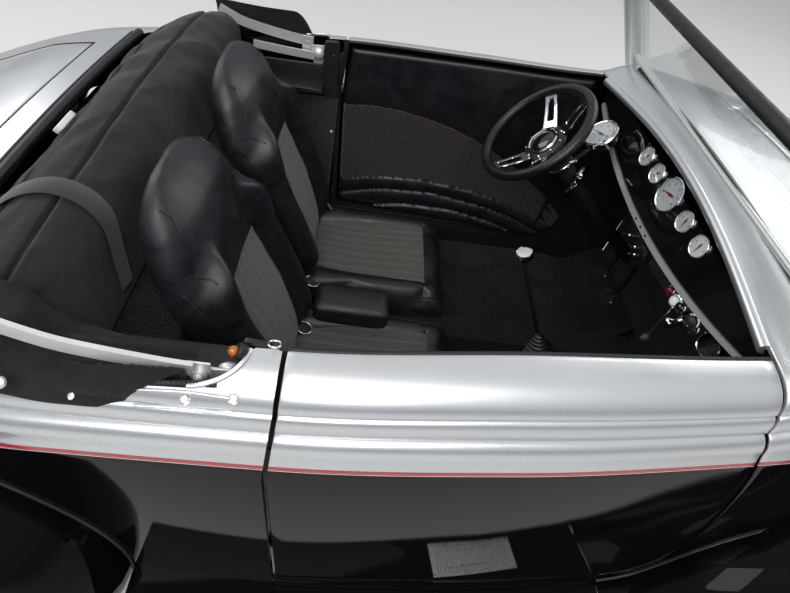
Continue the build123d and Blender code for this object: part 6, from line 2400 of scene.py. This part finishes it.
def dial(name, spot_at, r, pointer, ticks=13, **home):
    """One instrument: bezel and can, dial, printed ticks, pointer and its cap, and the glass."""
    bezel = (
        (0, -0.012), (r * 0.9, -0.012), (r * 0.9, -0.001), (r, 0.0), (r, 0.0025), (r * 0.985, 0.0048),
        (r * 0.95, 0.0060), (r * 0.905, 0.0052), (r * 0.885, 0.0030), (r * 0.88, 0.0004), (0, 0.0004)
    )
    turned(f"{name}_bezel", bezel, spot_at, chrome, ("gauges",) if name == "gauge_big" else (), **home)
    turned(
        f"{name}_dial", ((0, 0.0006), (r * 0.875, 0.0006), (r * 0.875, 0.0012), (0, 0.0012)), spot_at,
        dial_white, **home
    )
    verts, faces = [], []

    def print_block(corners):
        b = len(verts)
        verts.extend(spot_at(u, v, lift) for u, v in corners for lift in (0.0013, 0.0016))
        faces.extend(((b + 1, b + 3, b + 5, b + 7), (b, b + 2, b + 4, b + 6)))
        faces.extend((b + 2 * m, b + (2 * m + 2) % 8, b + (2 * m + 3) % 8, b + 2 * m + 1) for m in range(4))

    for k in range(ticks * 2 - 1):
        a = radians(SWEEP[0] + (SWEEP[1] - SWEEP[0]) * k / (ticks * 2 - 2))
        end, half = 0.82 - (0.12 if k % 2 == 0 else 0.06), r * 0.011
        bar = ((r * 0.82, -half), (r * 0.82, half), (r * end, half), (r * end, -half))
        print_block([(reach * cos(a) - off * sin(a), reach * sin(a) + off * cos(a)) for reach, off in bar])
        if k % 4 == 2:
            # A short printed numeral block inside every second long tick.
            for du in (-0.045, 0.02):
                box = ((du - 0.016, -0.05), (du + 0.016, -0.05), (du + 0.016, 0.05), (du - 0.016, 0.05))
                print_block([(r * (0.60 * cos(a) + u), r * (0.60 * sin(a) + v)) for u, v in box])
    new_piece(f"{name}_print", verts, faces, dash_black, smooth=0, **home)
    a = radians(pointer)
    needle = [(0.76, 0.0), (0.0, 0.075), (-0.30, 0.060), (-0.30, -0.060), (0.0, -0.075)]
    plate(
        f"{name}_pointer",
        [(r * (p * cos(a) - q * sin(a)), r * (p * sin(a) + q * cos(a))) for p, q in needle], spot_at, 0.0018,
        0.0026, pointer_red, chamfer=0.0002, **home
    )
    turned(
        f"{name}_cap", ((0, 0.0036), (r * 0.07, 0.0034), (r * 0.09, 0.0028), (r * 0.09, 0.0014), (0, 0.0014)),
        spot_at, dash_black, sides=20, **home
    )
    turned(
        f"{name}_glass", ((0, 0.0040), (r * 0.90, 0.0040), (r * 0.90, 0.0044), (0, 0.0047)), spot_at,
        clear_glass, **home
    )


GAUGE_DROP = 0.0015
GAUGES = (
    ("far", -0.138, 0.0285, 250), ("second", -0.061, 0.0285, 240), ("big", 0.026, 0.047, 195),
    ("fourth", 0.124, 0.0285, 275), ("near", 0.206, 0.0285, 268)
)
for label, u, radius, pointer in GAUGES:
    dial(
        f"gauge_{label}", (lambda uu: lambda a, b, w: on_dash(uu + a, b + GAUGE_DROP, w))(u), radius, pointer,
        13 if radius > 0.04 else 7, slot_name="gauge_metal"
    )

# Controls below the dash, on a black panel that hangs behind the strip: a lamp, a two-colour
# knob, plated rings, a small rod with a dark knob, a cone switch and a round air outlet.
under_dash = new_finish(
    "under_dash_black", "dash_gloss", (0.012, 0.012, 0.013), 0.5, wear=(40.0, 0.4, 0.6)
)[0]
sheet(
    "control_panel", 20, 6, lambda s, t: on_dash(
        0.10 + 0.33 * s, -0.085 - 0.085 * t + 0.032 * s, -0.030 - 0.012 * t
    ),
    (0.010, 0, 0), under_dash
)
lamp_ruby = new_finish("ruby_lens", "gauge_metal", (0.20, 0.008, 0.010), 0.12, wear=(50.0, 0.08, 0.2))[0]
ROUNDS = (
    ("warning_lamp", (0.205, -0.222, 0.925), 0.010, lamp_ruby),
    ("two_tone_knob", (0.200, -0.259, 0.930), 0.014, dial_white),
    ("dark_knob", (0.200, -0.282, 0.936), 0.011, dash_black),
    ("plated_ring", (0.200, -0.330, 0.948), 0.015, under_dash),
    ("plated_ring_low", (0.205, -0.342, 0.938), 0.011, under_dash),
)
for label, place_, radius, face in ROUNDS:
    facing = at_axis(place_, (-0.9, -0.15, 0.4))
    turned(
        f"{label}_ring",
        (
            (0, -0.02), (radius, -0.02), (radius * 1.25, 0.0), (radius * 1.2, 0.004), (radius, 0.005),
            (radius * 0.86, 0.002), (0, 0.002)
        ),
        facing, chrome, sides=28
    )
    turned(
        f"{label}_face",
        ((0, 0.010), (radius * 0.5, 0.0095), (radius * 0.8, 0.007), (radius * 0.86, 0.003), (0, 0.002)),
        facing, face, sides=28, slot_name="gauge_metal"
    )
vent_at = at_axis((0.196, -0.404, 0.966), (-0.93, -0.1, 0.3))
turned(
    "vent_ring",
    (
        (0, -0.045), (0.024, -0.045), (0.027, 0.0), (0.0265, 0.004), (0.024, 0.005), (0.0225, 0.001),
        (0.021, -0.012), (0, -0.012)
    ),
    vent_at, under_dash
)
turned(
    "vent_edge", ((0.0250, 0.0045), (0.0262, 0.0058), (0.0272, 0.0045), (0.0262, 0.0036), (0.0250, 0.0045)),
    vent_at, chrome
)
for k in range(5):
    half = sqrt(0.021**2 - (0.008 * (k - 2)) ** 2)
    verts = [
        vent_at(u, 0.008 * (k - 2) + v, w) for u, v,
        w in (
            (-half, -0.001, -0.010), (half, -0.001, -0.010), (half, 0.001, -0.010), (-half, 0.001, -0.010),
            (-half, 0.003, 0.0), (half, 0.003, 0.0), (half, 0.0045, 0.0), (-half, 0.0045, 0.0)
        )
    ]
    new_piece(
        f"vent_blade_{k}", verts,
        [(0, 1, 2, 3), (4, 5, 6, 7), (0, 1, 5, 4), (1, 2, 6, 5), (2, 3, 7, 6), (3, 0, 4, 7)], under_dash,
        smooth=0
    )
tube("rod_lever", ((0.192, -0.270, 0.920), (0.180, -0.282, 0.885), (0.170, -0.292, 0.838)), 0.0022, chrome)
turned(
    "rod_knob",
    (
        (0, 0.016), (0.006, 0.015), (0.0115, 0.010), (0.0125, 0.002), (0.010, -0.008), (0.004, -0.012),
        (0, -0.012)
    ),
    at_axis((0.168, -0.294, 0.826), (-0.5, -0.1, -0.8)), under_dash, sides=28
)
turned(
    "cone_switch",
    (
        (0, 0.034), (0.011, 0.033), (0.013, 0.030), (0.008, 0.010), (0.006, 0.0), (0.012, -0.002),
        (0.012, -0.01), (0, -0.01)
    ),
    at_axis((0.200, -0.302, 0.912), (-0.9, -0.2, -0.2)), chrome, sides=28
)
for number, place_ in enumerate(((0.205, 0.016, 0.876), (0.205, -0.030, 0.876), (0.205, -0.046, 0.862))):
    turned(
        f"toggle_{number}",
        (
            (0, 0.022), (0.003, 0.021), (0.0035, 0.016), (0.002, 0.006), (0.005, 0.004), (0.0065, 0.0),
            (0.0065, -0.012), (0, -0.012)
        ),
        at_axis(place_, (-0.95, 0, 0.2)), chrome, sides=20
    )
sheet(
    "toggle_panel", 12, 5, lambda s, t: (0.213 + 0.012 * t, 0.060 - 0.130 * s, 0.900 - 0.045 * t),
    (0.006, 0, 0), under_dash
)

# Steering wheel. A thick leather bound rim on four slotted, polished spokes set in two pairs,
# dished down to a dark ribbed hub with a domed glass cap.
WHEEL_TILT = radians(41.7)
wheel_at = at_axis((-0.056, 0.301, 0.991), (-cos(WHEEL_TILT), 0, sin(WHEEL_TILT)))
RIM_R, GRIP_R, HUB_R, DISH = 0.1715, 0.0155, 0.068, 0.056
rim_hide = hide_finish("rim_hide", (0.0055, 0.0055, 0.0065), 30.0, 0.0006)
ring = [wheel_at(u, v, 0) for u, v in circle(RIM_R, 120)]
tube(
    "steering_rim", ring, GRIP_R, rim_hide, ("steering_wheel",), True, 24, body="steering_wheel",
    slot_name="wheel_grip"
)
# Lacing along the inside of the rim.
stitch_points = []
for number in range(60):
    a = tau * number / 60
    stitch_points.append(
        [
            wheel_at(
                (RIM_R - (GRIP_R + 0.0004) * cos(b)) * cos(a + 0.012 * b),
                (RIM_R - (GRIP_R + 0.0004) * cos(b)) * sin(a + 0.012 * b), (GRIP_R + 0.0004) * sin(b)
            )
            for b in (-0.35, 0.0, 0.35)
        ]
    )
verts, faces = [], []
for a, b, c in stitch_points:
    base = len(verts)
    for p in (a, b, c):
        verts += [
            p + Vector((0.0006, 0, 0.0006)), p - Vector((0.0006, 0, 0.0006)), p + Vector((0, 0.0006, 0))
        ]
    faces += [
        (base, base + 1, base + 4, base + 3), (base + 1, base + 2, base + 5, base + 4),
        (base + 2, base, base + 3, base + 5)
    ]
    faces += [
        (base + 3, base + 4, base + 7, base + 6), (base + 4, base + 5, base + 8, base + 7),
        (base + 5, base + 3, base + 6, base + 8)
    ]
    faces += [(base, base + 1, base + 2), (base + 6, base + 7, base + 8)]
new_piece("rim_lacing", verts, faces, satin_trim, smooth=0, body="steering_wheel", slot_name="wheel_grip")
for number, turn in enumerate((95, 150, 285, 340)):
    a = radians(turn)


    def on_spoke(u, v, w, a=a):
        sink = DISH * min(1.0, max(0.0, (RIM_R - 0.010 - u) / (RIM_R - 0.010 - HUB_R + 0.012))) ** 0.8
        return wheel_at(u * cos(a) - v * sin(a), u * sin(a) + v * cos(a), w - sink)

    steps = 14
    edge = [
        (HUB_R - 0.012 + (RIM_R - HUB_R + 0.006) * k / steps, 0.0240 - 0.0055 * k / steps)
        for k in range(steps + 1)
    ]
    outline = edge + [(u, -v) for u, v in reversed(edge)]
    slot_edge = [
        (
            HUB_R + 0.014 + (RIM_R - HUB_R - 0.040) * k / steps,
            0.0125 * (1 if 0 < k < steps else 0.75) - 0.003 * k / steps
        )
        for k in range(steps + 1)
    ]
    hole = slot_edge + [(u, -v) for u, v in reversed(slot_edge)]
    plate(
        f"spoke_{number}", outline, on_spoke, -0.0028, 0.0028, chrome, chamfer=0.0010, hole=hole,
        body="steering_wheel", slot_name="wheel_grip"
    )
    plate(
        f"spoke_tab_{number}",
        [
            (RIM_R - 0.018, 0.0195), (RIM_R - 0.003, 0.0205), (RIM_R - 0.003, -0.0205),
            (RIM_R - 0.018, -0.0195)
        ],
        on_spoke, -0.0048, 0.0050, rim_hide, chamfer=0.0015, body="steering_wheel", slot_name="wheel_grip"
    )
hub_at = lambda u, v, w: wheel_at(u, v, w - DISH)
turned(
    "hub_ring",
    (
        (0, -0.030), (0.050, -0.030), (HUB_R - 0.004, -0.014), (HUB_R, -0.004), (HUB_R - 0.002, 0.004),
        (HUB_R - 0.012, 0.009), (0.052, 0.010), (0.050, 0.006), (0, 0.006)
    ),
    hub_at, satin_trim, body="steering_wheel", slot_name="wheel_grip"
)
for k in range(9):
    a = tau * k / 9 + 0.2
    turned(
        f"hub_screw_{k}", ((0, 0.0125), (0.0025, 0.012), (0.0036, 0.0095), (0.0036, 0.006), (0, 0.006)),
        (lambda cu, cv: lambda u, v, w: hub_at(cu + u, cv + v, w))(0.0585 * cos(a), 0.0585 * sin(a)), chrome,
        sides=12, body="steering_wheel", slot_name="wheel_grip"
    )
turned(
    "hub_cap_ring",
    ((0.041, 0.006), (0.0415, 0.015), (0.0445, 0.017), (0.0475, 0.014), (0.0485, 0.006), (0.041, 0.006)),
    hub_at, chrome, body="steering_wheel", slot_name="wheel_grip"
)
turned(
    "hub_cap",
    (
        (0, 0.022), (0.014, 0.0212), (0.027, 0.0185), (0.037, 0.0145), (0.0412, 0.010), (0.0412, 0.006),
        (0, 0.006)
    ),
    hub_at, dash_black, body="steering_wheel", slot_name="wheel_grip"
)

# Column. Black tube from under the hub to the firewall, with a ribbed collar, a tilt shroud,
# and the lock and its keys on the side towards the middle of the car.
turned(
    "column_tube",
    (
        (0, -0.700), (0.023, -0.700), (0.023, -0.240), (0.027, -0.236), (0.027, -0.200), (0.036, -0.196),
        (0.038, -0.130), (0.040, -0.098), (0.040, -0.092), (0, -0.092)
    ),
    wheel_at, satin_trim, ("steering_column",), slot_name="column_black"
)
for k in range(5):
    turned(
        f"column_rib_{k}",
        (
            (0.038, -0.103 - 0.006 * k), (0.042, -0.104 - 0.006 * k), (0.042, -0.107 - 0.006 * k),
            (0.038, -0.108 - 0.006 * k), (0.038, -0.103 - 0.006 * k)
        ),
        wheel_at, satin_trim, slot_name="column_black"
    )
lock_at = at_axis((0.118, 0.262, 0.880), (-0.55, -0.75, -0.05))
turned(
    "lock_barrel", ((0, -0.04), (0.014, -0.04), (0.014, 0.0), (0.0125, 0.004), (0.010, 0.006), (0, 0.006)),
    lock_at, chrome, sides=28
)
for number, (drop, swing) in enumerate(((0.010, 0.3), (0.028, -0.2))):
    key = at_axis((0.105 - 0.004 * number, 0.244, 0.866 - drop), (-0.8, -0.5, swing))
    outline = [(0.010 * cos(b), 0.010 * sin(b)) for b in (radians(-60 + 300 * m / 18) for m in range(19))]
    outline += [(-0.0035, -0.034), (0.0, -0.038), (0.0035, -0.034)]
    plate(f"key_{number}", outline, key, -0.0011, 0.0011, chrome, chamfer=0.0003)
tube(
    "key_ring",
    [
        (
            0.104 + 0.003 * cos(tau * k / 30), 0.246 + 0.010 * cos(tau * k / 30),
            0.862 + 0.012 * sin(tau * k / 30)
        )
        for k in range(30)
    ],
    0.0010, chrome, closed=True, sides=8
)

# Tachometer. One more white dial, larger, in a deep plated cup held on the column by a band.
tach_at = lambda u, v, w: wheel_at(u + 0.011, v + 0.148, w - 0.122)
dial("tachometer", lambda u, v, w: tach_at(u, v, w + 0.004), 0.0475, 200, slot_name="column_black")
turned(
    "tach_cup",
    (
        (0, -0.044), (0.022, -0.044), (0.040, -0.034), (0.0475, -0.016), (0.0490, -0.004), (0.0525, -0.002),
        (0.0530, 0.004), (0.0505, 0.007), (0.0480, 0.003), (0, 0.0)
    ),
    tach_at, chrome, slot_name="column_black"
)
tube(
    "tach_stem", [wheel_at(0.011, 0.110 - 0.085 * k / 6, -0.150 - 0.002 * k) for k in range(7)], 0.008,
    satin_trim, slot_name="column_black"
)
clamp = [wheel_at(u, v, -0.150) for u, v in circle(0.0405, 48)]
tube("tach_clamp", clamp, 0.0035, chrome, closed=True, flat=1.8)
tube(
    "clamp_tail",
    [wheel_at(0.040 + 0.012 * k / 4, 0.052 - 0.020 * k / 4, -0.142 + 0.004 * k) for k in range(5)], 0.0055,
    chrome, sides=12, flat=0.6
)

# Gear lever and pedals. A plated rod from the tunnel with a ringed round knob, a leather boot
# at its foot, and rubber faced pedals on steel arms.
lever = round_line(
    [
        (0.104, -0.042, 0.372), (0.094, -0.036, 0.430), (0.030, -0.018, 0.560), (-0.028, -0.006, 0.680),
        (-0.055, 0.0, 0.738)
    ],
    8
)
tube("gear_lever", lever, 0.0065, satin_trim, ("controls",), sides=16, slot_name="bright_trim")
knob_at = at_axis((-0.059, 0.0, 0.757), (-0.42, 0.05, 0.9))
turned(
    "gear_knob",
    (
        (0, -0.020), (0.008, -0.020), (0.010, -0.012), (0.020, -0.007), (0.0255, 0.002), (0.0250, 0.010),
        (0.0225, 0.014), (0, 0.014)
    ),
    knob_at, dash_black, sides=40, slot_name="bright_trim"
)
turned(
    "knob_ring",
    ((0.0195, 0.013), (0.0225, 0.0175), (0.0245, 0.014), (0.0262, 0.006), (0.0245, 0.005), (0.0195, 0.013)),
    knob_at, chrome, sides=40
)
turned(
    "knob_face", ((0, 0.0165), (0.012, 0.0160), (0.0200, 0.0145), (0.0200, 0.012), (0, 0.012)), knob_at,
    zinc_steel, sides=40, slot_name="bright_trim"
)
boot = []
for k in range(19):
    boot.append((0.052 - 0.042 * (k / 18) ** 0.8 + 0.0025 * sin(k * 2.1), 0.004 * k))
turned(
    "lever_boot", ((0, -0.004), *boot, (0, 0.072)), at_axis((0.106, -0.043, 0.384), (-0.25, 0.08, 1)),
    black_hide, sides=40
)
for label, y, size in (("brake", 0.225, 0.040), ("throttle", 0.340, 0.030)):
    tube(
        f"{label}_arm", round_line([(0.452, y, 0.560), (0.458, y, 0.47), (0.436, y, 0.395)], 6), 0.0075,
        satin_trim, slot_name="bright_trim"
    )
    pad_at = at_axis((0.424, y, 0.378), (-0.82, 0, 0.57))
    outline = rounded(size, 0.038, 1.0 if label == "brake" else 0.5, 40)
    plate(f"{label}_pad", outline, pad_at, -0.004, 0.004, chrome, chamfer=0.0012)
    for m in range(6):
        v = -0.026 + 0.0104 * m
        half = size * (0.8 if label == "throttle" else 0.82 * sqrt(1 - (v / 0.036) ** 2))
        plate(
            f"{label}_rubber_{m}",
            [(-half, v - 0.0045), (half, v - 0.0045), (half, v + 0.0045), (-half, v + 0.0045)], pad_at,
            0.0038, 0.0062, welt_rubber
        )

# Windshield. Flat glass in a slim plated frame between two raked posts that are bolted to the
# cowl, with a black rubber header along the top.
assign("windshield_glass", clear_glass)
assign("windshield_frame", zinc_steel)
tan_rake = sin(radians(27.4)) / cos(radians(27.4))
header = round_line([(0.129, -0.560, 1.398), (0.129, 0.0, 1.398), (0.129, 0.560, 1.398)], 12)
tube(
    "header_rubber", [p + Vector((-0.006, 0, 0.004)) for p in header], 0.0155, welt_rubber, sides=20,
    slot_name="windshield_metal"
)
SEAL_X = 0.262
seal_places = [0.50 * (2 * k / 48 - 1) for k in range(49)]
cowl_seal = [(SEAL_X, y, crown_height(SEAL_X, y) + 0.001) for y in seal_places]
tube("cowl_seal", cowl_seal, 0.0085, welt_rubber)
for hand, side in SIDES:
    for number, z in enumerate((1.125, 1.160)):
        x = 0.285 - (z - 1.097) * tan_rake
        turned(
            f"post_bolt_{hand}_{number}",
            ((0, 0.010), (0.005, 0.0095), (0.008, 0.006), (0.0085, 0.0), (0, -0.001)),
            at_axis((x, side * 0.573, z), (0, side, 0.1), (1, 0, 0)), chrome, sides=24
        )
